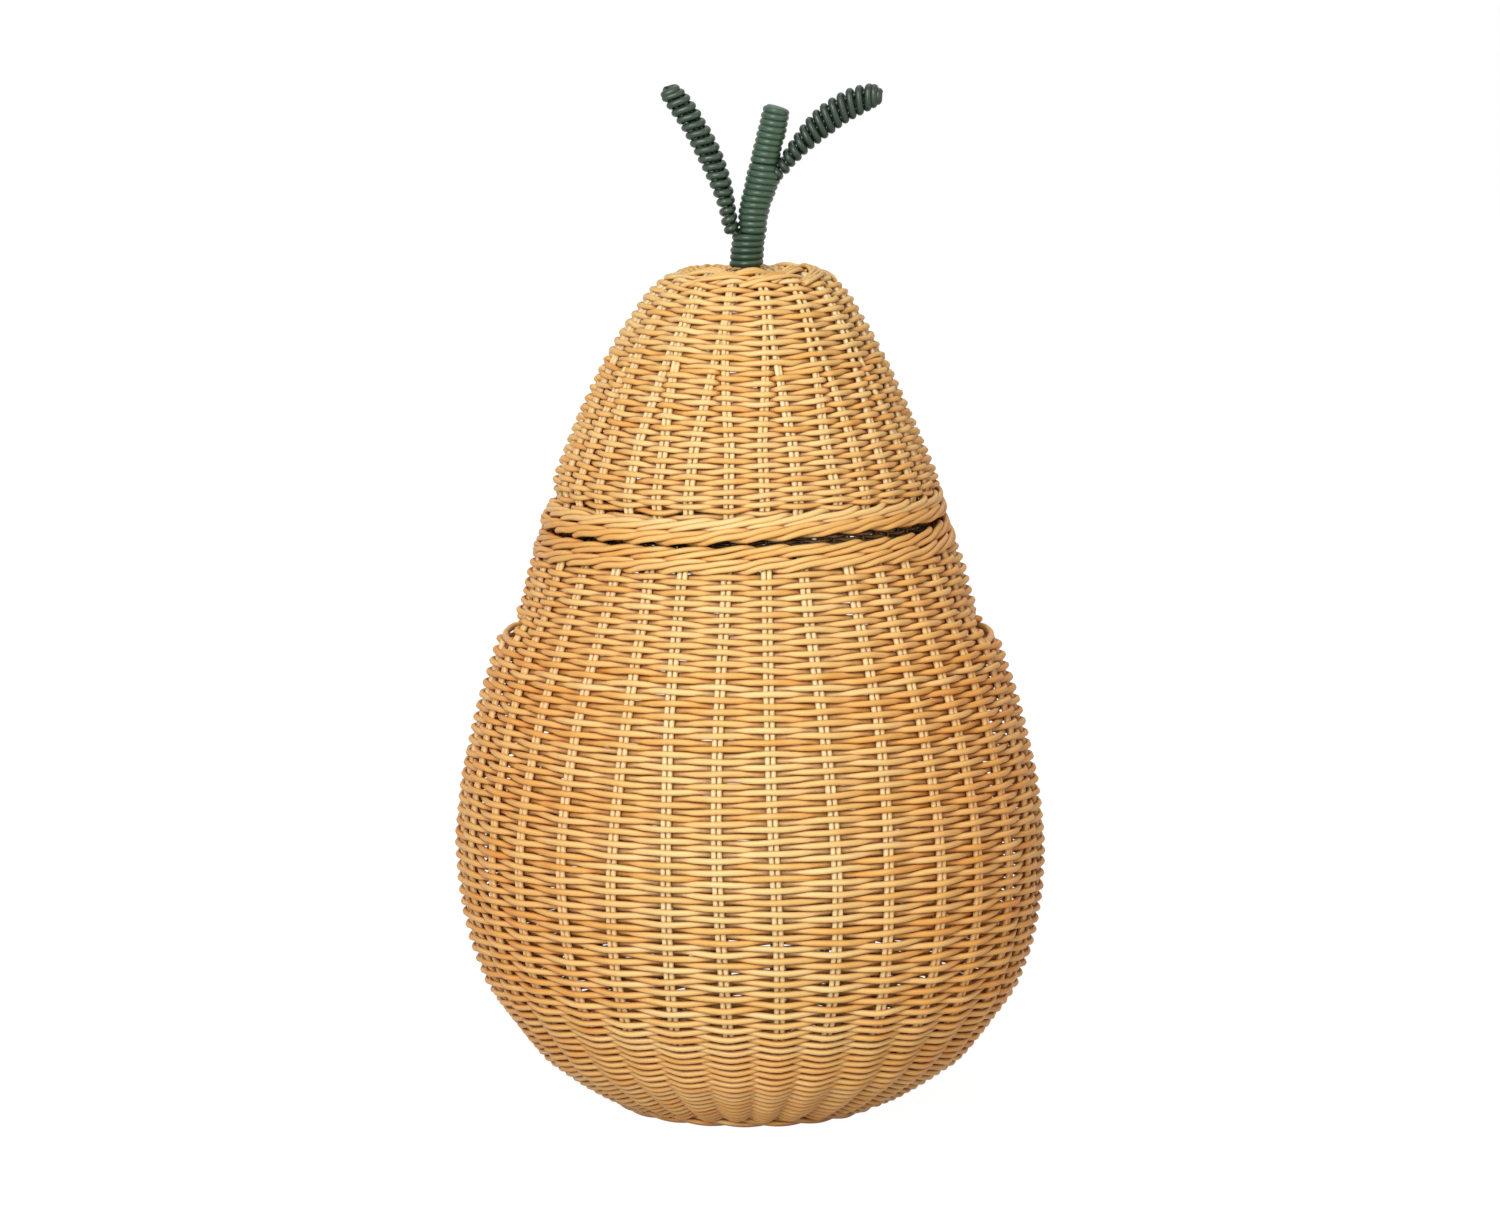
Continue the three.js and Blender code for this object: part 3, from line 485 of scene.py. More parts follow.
crossing = {  # where the groups of four part into pairs
    "partedBelow": 0.392,
    "joinedAbove": 0.457,
    "groupedRowsAbove": 0.432,
    "spacing": 0.52,  # of a pair's rods from its middle, in diameters
    "joinedSpacing": 0.0013,  # between the rods of a joined group
    "joinedDepth": 0.0008,
    "joinedDiameter": 0.0027,
}
stakeDepth = -(weave["weaverDiameter"] + weave["stakeDiameter"] / 2)
waveDepth = (weave["weaverDiameter"] + weave["stakeDiameter"]) / 2 * weave["swingShare"]
stakeSpacing = fullTurn / weave["stakeCount"]
angleShifts = chance.uniform(-1, 1, weave["stakeCount"]) * weave["angleJitter"]
driftPhases = chance.uniform(0, fullTurn, weave["stakeCount"])


def ownTone():
    return chance.uniform(0, weave["toneRange"])


def partShare(length):  # 1 where the pairs stand evenly, 0 where they have closed to groups
    joined = crossing["joinedAbove"]
    return np.clip((joined - outlineAt("height", length)) / (joined - crossing["partedBelow"]), 0, 1)


def stakeAngleAt(index, length):  # a pair's angle, which drifts a little with height
    index = np.asarray(index)
    own = index % weave["stakeCount"]
    drift = weave["angleJitter"] * np.sin(length * weave["driftPitch"] + driftPhases[own])
    groupMiddle = (index // 2 * 2 + 1) * stakeSpacing
    hand = np.where(index % 2 == 0, -0.5, 0.5)
    return groupMiddle + partShare(length) * hand * stakeSpacing + angleShifts[own] + drift


def groupAngleAt(index, length):
    return (stakeAngleAt(2 * index, length) + stakeAngleAt(2 * index + 1, length)) / 2


byPairs = {"angleAt": stakeAngleAt, "count": weave["stakeCount"], "steps": 8}
byGroups = {"angleAt": groupAngleAt, "count": weave["stakeCount"] // 2, "steps": 12}

# Rows: each weaver passes in front of one stake and behind the next

wavePhases = chance.uniform(0, fullTurn, len(weave["waves"]))
slantPhases = chance.uniform(0, fullTurn, len(weave["slants"]))
seamHeight = (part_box("body_border")[1].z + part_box("lid_border")[0].z) / 2
seam = {
    "tilt": 0.004,  # the mouth stands higher at the right
    "tiltReach": 0.045,
    "gapAngle": math.radians(-50),  # the lid sits a little open here
    "gapWidth": math.radians(33),
    "lidLift": 0.0034,
    "bodyDrop": 0.0014,
    "gapReach": 0.02,
}
rowsBelowRim = -0.0147  # heights from the seam at which the body's rows end and the lid's begin
rowsAboveRim = 0.0133
domeTop = 0.4797  # height of the last row
sillRowCount = 4  # rows in the piece under the slots


def rowLift(angle, length):
    lift = 0
    for (around, up), phase in zip(weave["waves"], wavePhases):
        lift = lift + weave["waveHeight"] * np.sin(around * angle + up * length + phase)
    for (around, up), phase in zip(weave["slants"], slantPhases):
        lift = lift + weave["slantHeight"] * np.sin(around * angle + up * length + phase)
    fromSeam = outlineAt("height", length) - seamHeight
    tilt = seam["tilt"] * np.cos(angle) * np.exp(-((fromSeam / seam["tiltReach"]) ** 2))
    around = (angle - seam["gapAngle"] + math.pi) % fullTurn - math.pi
    gap = np.exp(-((around / seam["gapWidth"]) ** 2) - np.abs(fromSeam) / seam["gapReach"])
    return lift + tilt + gap * np.where(fromSeam > 0, seam["lidLift"], -seam["bodyDrop"])


def waveShape(phase):  # in and out of the stakes
    straight = weave["straightness"]
    return (np.cos(phase) + straight * np.cos(3 * phase)) / (1 + straight)


def slimness(length):
    return weave["lidShare"] if outlineAt("height", length) > seamHeight else 1


def betweenStakes(angleAt, position, length):
    whole = np.floor(position).astype(int)
    part = position - whole
    return angleAt(whole, length) * (1 - part) + angleAt(whole + 1, length) * part


def weaverRow(length, parity, first, span, units):
    position = first + np.arange(span * units["steps"] + 1) / units["steps"]
    angle = betweenStakes(units["angleAt"], position, length)
    depth = stakeDepth + waveDepth * slimness(length) * waveShape(math.pi * (position + parity))
    own = np.interp(position, np.arange(first, first + span + 2), chance.normal(0, 1, span + 2))
    leanBack = max(0, outlineAt("leanBack", length))
    settle = weave["settle"] * (weave["settleLimit"] - leanBack) * (depth - stakeDepth)
    return angle, length + rowLift(angle, length) + weave["rowWobble"] * own + settle, depth


def rowLengths(low, high, pitch=weave["rowPitch"]):  # middles of the rows between two lengths
    rows = [low]
    while rows[-1] < high:
        ease = smoothStep(outlineAt("height", rows[-1]), weave["tightBelow"], weave["easyAbove"])
        rows.append(rows[-1] + weave["footRowPitch"] * (1 - ease) + pitch * ease)
    edges = low + (np.array(rows) - low) * (high - low) / (rows[-1] - low)
    return (edges[1:] + edges[:-1]) / 2


def weaverDiameter(length):
    return weave["weaverDiameter"] * slimness(length) * (1 + chance.uniform(-1, 1) * weave["diameterSpread"])


def rowStrands(lengths, parity=0):
    rows = []
    for k, length in enumerate(lengths):
        units = byGroups if outlineAt("height", length) > crossing["groupedRowsAbove"] else byPairs
        first = 2 * chance.randint(units["count"] // 2) + 1 - (k + parity) % 2
        angle, along, depth = weaverRow(length, k + parity, first, units["count"], units)
        rows.append(strand(wallPoints(angle, along, depth), weaverDiameter(length), ownTone()))
    return rows


wallLow = lengthAt(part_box("bowl_siding")[0].z)
sillLength = lengthAt(grip["sillHeight"])
slotTopLength = lengthAt(grip["topHeight"])
upperHigh = lengthAt(seamHeight + rowsBelowRim)
lidLow = lengthAt(seamHeight + rowsAboveRim)
lidSplit = lengthAt(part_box("lid_lower_siding")[1].z)
lidHigh = lengthAt(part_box("lid_upper_siding")[1].z)
domeHigh = lengthAt(domeTop)
wallRows = rowLengths(wallLow, sillLength)
half = len(wallRows) // 4 * 2
underSill = len(wallRows) - sillRowCount
upperRows = rowLengths(slotTopLength, upperHigh, weave["upperPitch"])
lidRows = rowLengths(lidLow, domeHigh, weave["lidPitch"])
lidLowerCount = int(np.sum(lidRows < lidSplit))
lidWallCount = int(np.sum(lidRows < lidHigh))

wovenBands = (  # piece, body, CAD node, rows, and the number of the first one, on which side it starts
    ("bowl_weave", "basket", "bowl_siding", wallRows[:half], 0),
    ("belly_weave", "basket", "belly_siding", wallRows[half:underSill], half),
    ("sill_rows", "basket", "belly_siding", wallRows[underSill:], underSill),
    ("upper_weave", "basket", "upper_siding", upperRows, 0),
    ("lid_lower_weave", "lid", "lid_lower_siding", lidRows[:lidLowerCount], 0),
    ("lid_upper_weave", "lid", "lid_upper_siding", lidRows[lidLowerCount:lidWallCount], lidLowerCount),
    ("crown_rings", "lid", "crown_border", lidRows[lidWallCount:], lidWallCount),
)
for name, body, node, lengths, parity in wovenBands:
    strandPiece(name, rowStrands(lengths, parity), weaverRattan, body, [node])

# Beside the slots the weaver turns back round the end pairs, so each half is one long snake

gripEnds = {  # the first and the last pair of each half
    "front_grip_weave": (17, 30, "front_grip_panel"),
    "back_grip_weave": (1, 14, "back_grip_panel"),
}
turnReach = 0.0047  # of a turn past the middle of the end pair
turnSteps = 5


def gripSnake(first, last):
    lengths = rowLengths(sillLength, slotTopLength)
    pieces = []
    for k, length in enumerate(lengths):
        angle, along, depth = weaverRow(length, k, first, last - first, byPairs)
        row = np.stack([angle, along, depth], -1)
        pieces.append(row if k % 2 == 0 else row[::-1])
        if k + 1 == len(lengths):
            break
        turn = np.arange(1, turnSteps) / turnSteps
        hand = 1 if k % 2 == 0 else -1
        end = pieces[-1][-1]
        side = np.sign(end[2] - stakeDepth)
        pieces.append(np.stack([
            end[0] + hand * turnReach / outlineAt("radius", length) * np.sin(math.pi * turn),
            end[1] + (lengths[k + 1] - length) * turn,
            stakeDepth + side * waveDepth * np.cos(math.pi * turn),
        ], -1))
    return strand(wallPoints(*np.concatenate(pieces).T), weave["weaverDiameter"], ownTone())


for name, (first, last, node) in gripEnds.items():
    strandPiece(name, [gripSnake(first, last)], weaverRattan, "basket", [node])

slotRods = {
    "diameter": 0.0038,
    "inside": {"sill": 0.0032, "bar": 0.0},  # of the CAD rod's outer face
    "reach": math.radians(16.2),
    "steps": 25,
    "endsFrom": 0.7,  # of the reach, from where the ends draw in behind the weave
    "endsIn": 0.002,
}


def slotRod(side, node, inside):
    low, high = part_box(node)
    angle = np.linspace(-slotRods["reach"], slotRods["reach"], slotRods["steps"])
    outside = max(abs(low.x), abs(high.x)) - slotRods["diameter"] / 2 - inside
    ends = smoothStep(np.abs(angle), slotRods["reach"] * slotRods["endsFrom"], slotRods["reach"])
    radius = outside - slotRods["endsIn"] * ends
    points = roundPoints(radius, angle, (low.z + high.z) / 2) * (side, 1, 1)
    return strand(points, slotRods["diameter"], ownTone())


for sideName, side in (("left", -1), ("right", 1)):
    for part, inside in slotRods["inside"].items():
        node = f"{sideName}_grip_{part}"
        rod = slotRod(side, node, inside)
        strandPiece(node + "_rod", [rod], weaverRattan, "basket", [node], sides=12)

# Stake rods

cutPairs = (0, 15, 16, 31)  # these end at a slot's sill and start again at its bar
stakeEnds = {
    "step": 0.005,
    "underFoot": 0.002,  # below the first row
    "overSill": 0.0005,
    "underBar": 0.002,
    "insideBorder": 0.006,  # below the top of the body's border
    "aboveLidEdge": 0.0088,
    "overDome": 0.003,
}


def stakeRod(index, hand, low, high):
    lengths = np.linspace(low, high, max(2, int((high - low) / stakeEnds["step"]) + 1))
    share = partShare(lengths)
    pairHand = -1 if index % 2 == 0 else 1
    joined = pairHand * crossing["joinedSpacing"] + hand * crossing["joinedSpacing"] / 2
    offset = hand * weave["stakeDiameter"] * crossing["spacing"] * share + joined * (1 - share)
    angle = stakeAngleAt(index, lengths) + offset / outlineAt("radius", lengths)
    depth = stakeDepth + weave["stakeOut"] - hand * crossing["joinedDepth"] * (1 - share)
    diameter = weave["stakeDiameter"] * share + crossing["joinedDiameter"] * (1 - share)
    return strand(wallPoints(angle, lengths, depth), diameter, ownTone())


def bodyStakes():
    low = wallLow - stakeEnds["underFoot"]
    top = lengthAt(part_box("body_border")[1].z) - stakeEnds["insideBorder"]
    rods = []
    for index in range(weave["stakeCount"]):
        for hand in (-1, 1):
            if index in cutPairs:
                rods.append(stakeRod(index, hand, low, sillLength + stakeEnds["overSill"]))
                rods.append(stakeRod(index, hand, slotTopLength - stakeEnds["underBar"], top))
            else:
                rods.append(stakeRod(index, hand, low, top))
    return rods


def lidStakes():
    low = lengthAt(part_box("lid_border")[0].z) + stakeEnds["aboveLidEdge"]
    high = domeHigh + stakeEnds["overDome"]
    return [stakeRod(index, hand, low, high) for index in range(weave["stakeCount"]) for hand in (-1, 1)]


strandPiece("body_stakes", bodyStakes(), stakeRattan, "basket")
strandPiece("lid_stakes", lidStakes(), stakeRattan, "lid")

# Rims: rounds of three rods that each pass over two stakes and behind the third, rising as they go

rims = {  # diameter and step are a rod's own and its rise in a round; out is from the wall's middle
    "body_wale": {"body": "basket", "diameter": 0.0036, "step": 0.0034, "fromSeam": -0.0106, "out": 0.0008},
    "body_border": {"body": "basket", "diameter": 0.0036, "step": 0.0034, "fromSeam": -0.0040, "out": 0.0008},
    "lid_border": {"body": "lid", "diameter": 0.0037, "step": 0.0032, "fromSeam": 0.0043, "out": 0.003},
    "lid_wale": {"body": "lid", "diameter": 0.0037, "step": 0.0032, "fromSeam": 0.0107, "out": 0.0024},
}
rimRound = {
    "rods": 3,
    "steps": 8,  # from stake to stake
    "ease": 0.7,  # share of a rod's rise that is spread over its whole length in front
    "fullRise": 1.03,
    "flatEnds": 0.4,  # of the length in front, where only that share rises
    "dip": 0.46,  # length of the way behind a stake
    "wobble": 0.0002,
}


def rimStrand(settings):
    rods, steps = rimRound["rods"], rimRound["steps"]
    length = lengthAt(seamHeight + settings["fromSeam"])
    count = weave["stakeCount"]
    position = np.arange(rods * count * steps) / steps
    phase = (position + 0.5) % rods  # in front up to the last stake, then behind it
    over = rods - 1
    rest = rimRound["fullRise"] - rimRound["ease"]
    middle = smoothStep(phase, rimRound["flatEnds"], over - rimRound["flatEnds"]) - 0.5
    front = rimRound["ease"] * (phase - over / 2) + rest * middle
    high = rimRound["ease"] * over / 2 + rest / 2
    rise = settings["step"] * np.where(phase < over, front, high - 2 * high * smoothStep(phase, over, rods))
    away = (phase - over - 0.5 + rods / 2) % rods - rods / 2
    swing = 1 - 2 * np.exp(-((away / rimRound["dip"]) ** 2))
    angle = betweenStakes(stakeAngleAt, position, length)
    depth = stakeDepth + settings["out"] + (settings["diameter"] + weave["stakeDiameter"]) / 2 * swing
    knots = rods * count + 1
    own = np.interp(position, np.arange(knots), chance.normal(0, rimRound["wobble"], knots))
    points = wallPoints(angle, length + rise + own + rowLift(angle, length), depth)
    return strand(points, settings["diameter"], ownTone(), closed=True)


for node, settings in rims.items():
    rods = [rimStrand(settings)]
    strandPiece(node + "_rods", rods, weaverRattan, settings["body"], [node], sides=10)

# Collar of the lid: a finer weave

collar = {
    "weaver": 0.0023,
    "stake": 0.0016,
    "stakeCount": 64,
    "pitch": 0.0023,
    "steps": 4,
    "inset": 0.002,  # of the middle of the weave from the CAD collar's face
    "swingShare": 0.9,
}


def collarStrands():
    low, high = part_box("lid_collar")
    middle = high.x - collar["inset"]
    swing = (collar["weaver"] + collar["stake"]) / 2 * collar["swingShare"]
    rows = np.arange(low.z + collar["weaver"] / 2, high.z - collar["weaver"] / 2, collar["pitch"])
    position = np.arange(collar["stakeCount"] * collar["steps"]) / collar["steps"]
    angle = position * fullTurn / collar["stakeCount"]
    weavers, stakes = [], []
    for k, height in enumerate(rows):
        points = roundPoints(middle + swing * waveShape(math.pi * (position + k)), angle, height)
        weavers.append(strand(points, collar["weaver"], ownTone(), closed=True))
    for turn in np.arange(collar["stakeCount"]) * fullTurn / collar["stakeCount"]:
        points = roundPoints(middle, np.array([turn, turn]), (low.z, high.z))
        stakes.append(strand(points, collar["stake"], ownTone()))
    return weavers, stakes


collarWeavers, collarStakes = collarStrands()
strandPiece("collar_weave", collarWeavers, collarShadedRattan, "lid", ["lid_collar"])
strandPiece("collar_stakes", collarStakes, collarShadedRattan, "lid")

# Foot: two ropes of three rods lie side by side under the edge of the base

foot = {"rods": 3, "rodDiameter": 0.0033, "twists": 7, "inset": 0.0037, "steps": 189}


def footRopes():
    low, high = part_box("foot_border")
    lay = foot["rodDiameter"] / math.sqrt(foot["rods"])  # from the rope's middle to its rods'
    turn = np.arange(foot["steps"]) * fullTurn / foot["steps"]
    ropes = []
    for middle in (high.x - foot["inset"], high.x - 3 * foot["inset"]):
        for rod in range(foot["rods"]):
            lean = -turn * foot["twists"] + rod * fullTurn / foot["rods"]
            height = low.z + lay + foot["rodDiameter"] / 2 + lay * np.sin(lean)
            points = roundPoints(middle + lay * np.cos(lean), turn, height)
            ropes.append(strand(points, foot["rodDiameter"], ownTone(), closed=True))
    return ropes


strandPiece("foot_ropes", footRopes(), weaverRattan, "basket", ["foot_border"], sides=10)

# Base: round rows over and under crossed sticks

base = {"stickDiameter": 0.0036, "weaver": 0.0026, "sticks": 16, "innerRadius": 0.009, "steps": 8}
baseEdge = 0.001  # that the rows leave free inside the wall
discForm = {
    "swingShare": 0.95,
    "pitch": 1.02,  # in diameters
    "fullSwingRadius": 0.02,  # further in, the weavers go in and out less
}


def discRows(settings, low, high, outerRadius):
    middle = (low + high) / 2
    swing = (settings["stickDiameter"] + settings["weaver"]) / 2 * discForm["swingShare"]
    position = np.arange(settings["sticks"] * settings["steps"]) / settings["steps"]
    turn = (position + 0.5) * fullTurn / settings["sticks"]
    radii = np.arange(settings["innerRadius"], outerRadius, settings["weaver"] * discForm["pitch"])
    rows = []
    for k, radius in enumerate(radii):
        ownSwing = swing * min(1, radius / discForm["fullSwingRadius"])
        points = roundPoints(radius, turn, middle + ownSwing * waveShape(math.pi * (position + k)))
        rows.append(strand(points, settings["weaver"], ownTone(), closed=True))
    return rows


def crossedSticks(settings, low, high, length):
    sticks = []
    for k in range(settings["sticks"] // 2):
        turn = (k + 0.5) * fullTurn / settings["sticks"]
        along = Vector((math.cos(turn), math.sin(turn), 0)) * length
        middle = Vector((0, 0, (low + high) / 2))
        points = [middle - along, middle, middle + along]
        sticks.append(strand(points, settings["stickDiameter"], ownTone()))
    return sticks


baseLow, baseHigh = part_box("base_weave")
baseRows = discRows(base, baseLow.z, baseHigh.z, baseHigh.x - baseEdge)
strandPiece("base_rows", baseRows, weaverRattan, "basket", ["base_weave"])
baseSticks = crossedSticks(base, baseLow.z, baseHigh.z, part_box("base_sticks")[1].x)
strandPiece("base_rods", baseSticks, stakeRattan, "basket", ["base_sticks"])

# Crown: the groups of stakes bend over to the right, pass over the next groups and end in the dimple

crown = {
    "layers": (  # from the outer one in; radius and height go from start by way of the top to the end
        {"span": 62, "phase": -141, "radius": (0.0468, 0.0415, 0.0365), "height": (0.4725, 0.478, 0.4745)},
        {"span": 66, "phase": -119, "radius": (0.0432, 0.0345, 0.029), "height": (0.4735, 0.4805, 0.473)},
    ),
    "slopeRight": 0.024,
    "slopeBack": -0.05,
    "arches": 8,  # in each layer
    "rods": 3,  # in each arch
    "rodDiameter": 0.0027,
    "spacing": 0.95,  # in diameters
    "steps": 17,
    "fullness": 1.15,  # below 1 an arch is blunter
    "heightSpread": 0.0003,
    "bank": 0.3,  # slope by which an arch's outer rods lie lower
}


def crownArches():
    share = np.linspace(0, 1, crown["steps"])
    over = np.sin(math.pi * share) ** crown["fullness"]
    arches = []
    for layer in crown["layers"]:
        out, top, end = layer["radius"]
        low, peak, tail = layer["height"]
        bend = 2 * top - (out + end) / 2
        radius = out * (1 - share) ** 2 + 2 * bend * share * (1 - share) + end * share ** 2
        height = low + (tail - low) * share + (peak - (low + tail) / 2) * over
        for k in range(crown["arches"]):
            start = math.radians(layer["phase"]) + k * fullTurn / crown["arches"]
            turn = start + math.radians(layer["span"]) * share
            own = chance.uniform(-1, 1) * crown["heightSpread"]
            for rod in range(crown["rods"]):
                beside = (rod - (crown["rods"] - 1) / 2) * crown["rodDiameter"] * crown["spacing"]
                right = (radius + beside) * np.cos(turn)
                back = (radius + beside) * np.sin(turn)
                rise = height + (own - crown["bank"] * beside) * over
                rise = rise + crown["slopeRight"] * right + crown["slopeBack"] * back
                arches.append(strand(np.stack([right, back, rise], -1), crown["rodDiameter"], ownTone()))
    return arches


strandPiece("crown_arches", crownArches(), weaverRattan, "lid", ["crown_border"], sides=10)

crownDisc = {"stickDiameter": 0.0024, "weaver": 0.0024, "sticks": 16, "innerRadius": 0.0062, "steps": 6}
crownLow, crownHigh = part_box("crown_weave")
crownRows = discRows(crownDisc, crownLow.z, crownHigh.z, crownHigh.x)
strandPiece("crown_rows", crownRows, weaverRattan, "lid", ["crown_weave"])

# Stem: a core that leans to the right, with lengths measured up its middle line

stem = {
    "height": 0.095,
    "lean": 0.0171,
    "bend": 1.7,
    "coreRadius": 0.0043,
    "coreSteps": 40,
    "coreBelowTop": 0.004,
    "coreTone": 0.5,
    "tailReach": 0.0174,  # of a leaf's rods under the wrapping
    "rodDiameter": 0.003,
    "gap": 0.0003,
}
frontToBack = np.array([0.0, 1.0, 0.0])
lineShare = np.linspace(0, 1, 200)  # along the stem's line, and each leaf's
stemLine = np.stack([
    stem["lean"] * lineShare ** stem["bend"],
    np.zeros(len(lineShare)),
    crownHigh.z + stem["height"] * lineShare,
], -1)
stemLengths = runLengths(stemLine)
stemAlong = directions(stemLine)


def stemFrame(length):  # middle of the stem at lengths up it, and the direction to its right
    length = np.asarray(length, float)
    inside = np.clip(length, 0, stemLengths[-1])
    along = lineAt(inside, stemLengths, stemAlong)
    point = lineAt(inside, stemLengths, stemLine) + along * (length - inside)[..., None]
    return point, np.cross(frontToBack, along)


# Wrapping: three windings, with a leaf coming out below and above the middle one

wrapping = {
    "diameter": 0.0045,
    "pitch": 0.0036,
    "stepsPerTurn": 24,
    "form": (  # length up the stem, outer radius, and how far the wrapping stands to the right
        (0.0, 0.0098, -0.0012), (0.0175, 0.0095, -0.0009), (0.0215, 0.0081, 0.001),
        (0.0295, 0.0086, 0.0002), (0.0387, 0.0089, 0.0006), (0.0433, 0.0091, 0.0014),
        (0.0479, 0.0095, 0.0018), (0.0525, 0.0098, 0.0022), (0.0565, 0.0096, 0.0022),
        (0.0605, 0.0083, 0.001), (0.0663, 0.0082, 0.001), (0.0756, 0.0081, 0.0009),
        (0.0802, 0.0083, 0.0011), (0.0848, 0.0081, 0.0007), (0.094, 0.0076, 0.0),
    ),
    "start": 0.0019,
    "leafGap": 0.0043,
    "backTurn": 0.25,  # share of a turn from the right to the back, where the windings start
    "waver": 0.0001,  # of the radius
    "waverPitch": 2.3,  # radians of that waver for each turn
    "endTurns": 0.2,  # of an end that is pushed in
    "endTuck": 0.85,  # share of the radius by which it goes in for each turn
    "capTurns": 1.1,  # with which the top winding closes the stem's top
    "turns": {"stem_wrap_base": 5, "stem_wrap_middle": 9, "stem_wrap_top": 9},
    "runOn": {  # turns before the first and after the last, up to the leaf on each gap's own side
        "stem_wrap_base": (0, 0.13), "stem_wrap_middle": (0.63, 0.63), "stem_wrap_top": (0.13, 0),
    },
}
wrapStarts = {}
wrapEnd = wrapping["start"]
for name, turns in wrapping["turns"].items():
    wrapStarts[name] = wrapEnd
    wrapEnd = wrapEnd + turns * wrapping["pitch"] + wrapping["leafGap"]
wrapTop = wrapEnd - wrapping["leafGap"] - wrapping["pitch"] / 2
backRise = wrapping["backTurn"] * wrapping["pitch"]
leftExit = wrapStarts["stem_wrap_middle"] - wrapping["leafGap"] / 2 - backRise
rightExit = wrapStarts["stem_wrap_top"] - wrapping["leafGap"] / 2 + backRise


def windingStrand(name):
    before, after = wrapping["runOn"][name]
    first, last = -before, wrapping["turns"][name] + after
    beyond = wrapping["capTurns"] if name == "stem_wrap_top" else wrapping["endTurns"]
    steps = int((last - first + beyond) * wrapping["stepsPerTurn"])
    turns = np.linspace(first - wrapping["endTurns"], last + beyond, steps)
    inside = np.clip(turns, first, last)
    length = np.minimum(wrapStarts[name] + inside * wrapping["pitch"], wrapTop)
    point, right = stemFrame(length)
    lengths, outer, shift = np.transpose(wrapping["form"])
    radius = np.interp(length, lengths, outer) - wrapping["diameter"] / 2
    radius = radius + wrapping["waver"] * np.sin(turns * wrapping["waverPitch"] + chance.uniform(0, fullTurn))
    radius = radius * (1 - wrapping["endTuck"] * np.abs(turns - inside))
    turn = fullTurn * (turns + wrapping["backTurn"])
    outward = right * np.cos(turn)[:, None] + frontToBack * np.sin(turn)[:, None]
    middle = point + right * np.interp(length, lengths, shift)[:, None]
    return strand(middle + outward * radius[:, None], wrapping["diameter"], ownTone())


for name in wrapping["turns"]:
    strandPiece(name + "_rod", [windingStrand(name)], greenRattan, "lid", [name], sides=16)
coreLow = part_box("stem_core")[0].z - crownHigh.z
corePoints = stemFrame(np.linspace(coreLow, wrapTop - stem["coreBelowTop"], stem["coreSteps"]))[0]
core = strand(corePoints, 2 * stem["coreRadius"], stem["coreTone"])
strandPiece("stem_core_rod", [core], stemWood, "lid", ["stem_core"], sides=24)
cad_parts["stem_peg"].material_slots[0].material = stemWood

# Leaves: a rib and an edge rod bent round the tip, bound together by one weaver

leafForm = {
    "tipSpread": 0.0024,
    "cover": 0.0037,  # of the winding past the bend of the edge rod
    "taperEnd": 0.97,
    "ribSetback": 0.024,
    "pitch": 0.0052,
    "stepsPerTurn": 20,
    "bare": 0.001,  # of the rods between the stem and the winding
    "firstOut": 0.0001,  # of the rods just below the place where they leave the stem
    "stepOut": 0.0016,  # and at that place
    "rootAhead": 15,  # point of the blade's line that the root heads for
    "rootSteps": 10,
    "bladePoints": 9,
    "ribSteps": 4,  # from point to point
    "edgeSteps": 5,
    "hairpinTurn": 45,  # degrees from the tip to the points beside it
    "skewReach": 0.2,  # share of the blade over which the turns come to lie askew
    "squareness": 2.6,  # power of the rounded square that the winding follows
    "deepShare": 0.6,  # of the rods' depth that the winding goes round
    "closeTurns": 1.6,  # last turns, which close over the tip
    "closing": 0.96,
    "waver": 0.05,  # of the diameter
}
leafRods = (  # diameter, how far it is pressed in, and the turns by which it starts later
    {"diameter": 0.0044, "inset": 0.0012, "offset": 0},
    {"diameter": 0.0034, "inset": 0.0009, "offset": 0.5},
)
leaves = {
    "left": {
        "side": -1, "exit": leftExit, "standOff": 0.0058, "drop": -0.0025, "reach": 0.036, "rise": 0.0795,
        "bend": (0.0055, 0.041), "spread": 0.0027, "openShare": 0.5, "taperStart": 0.72, "skew": -0.45,
    },
    "right": {
        "side": 1, "exit": rightExit, "standOff": 0.0052, "drop": -0.0042, "reach": 0.0575, "rise": 0.0422,
        "bend": (0.0275, 0.039), "spread": 0.004, "openShare": 0.55, "taperStart": 0.74, "skew": -0.15,
    },
}


def beside(leaf, length, distance):  # a point beside the stem, on the leaf's side
    point, right = stemFrame(length)
    return point + right * (leaf["side"] * distance)


def smoothLine(points, steps=8):  # Catmull-Rom curve through the points
    points = np.asarray(points, float)
    padded = np.concatenate([[2 * points[0] - points[1]], points, [2 * points[-1] - points[-2]]])
    t = (np.arange(steps) / steps)[:, None]
    line = []
    for a, b, c, d in zip(padded, padded[1:], padded[2:], padded[3:]):
        line.append(0.5 * (2 * b + (c - a) * t + (2 * a - 5 * b + 4 * c - d) * t ** 2
                           + (3 * b - a - 3 * c + d) * t ** 3))
    return np.concatenate(line + [points[-1:]])


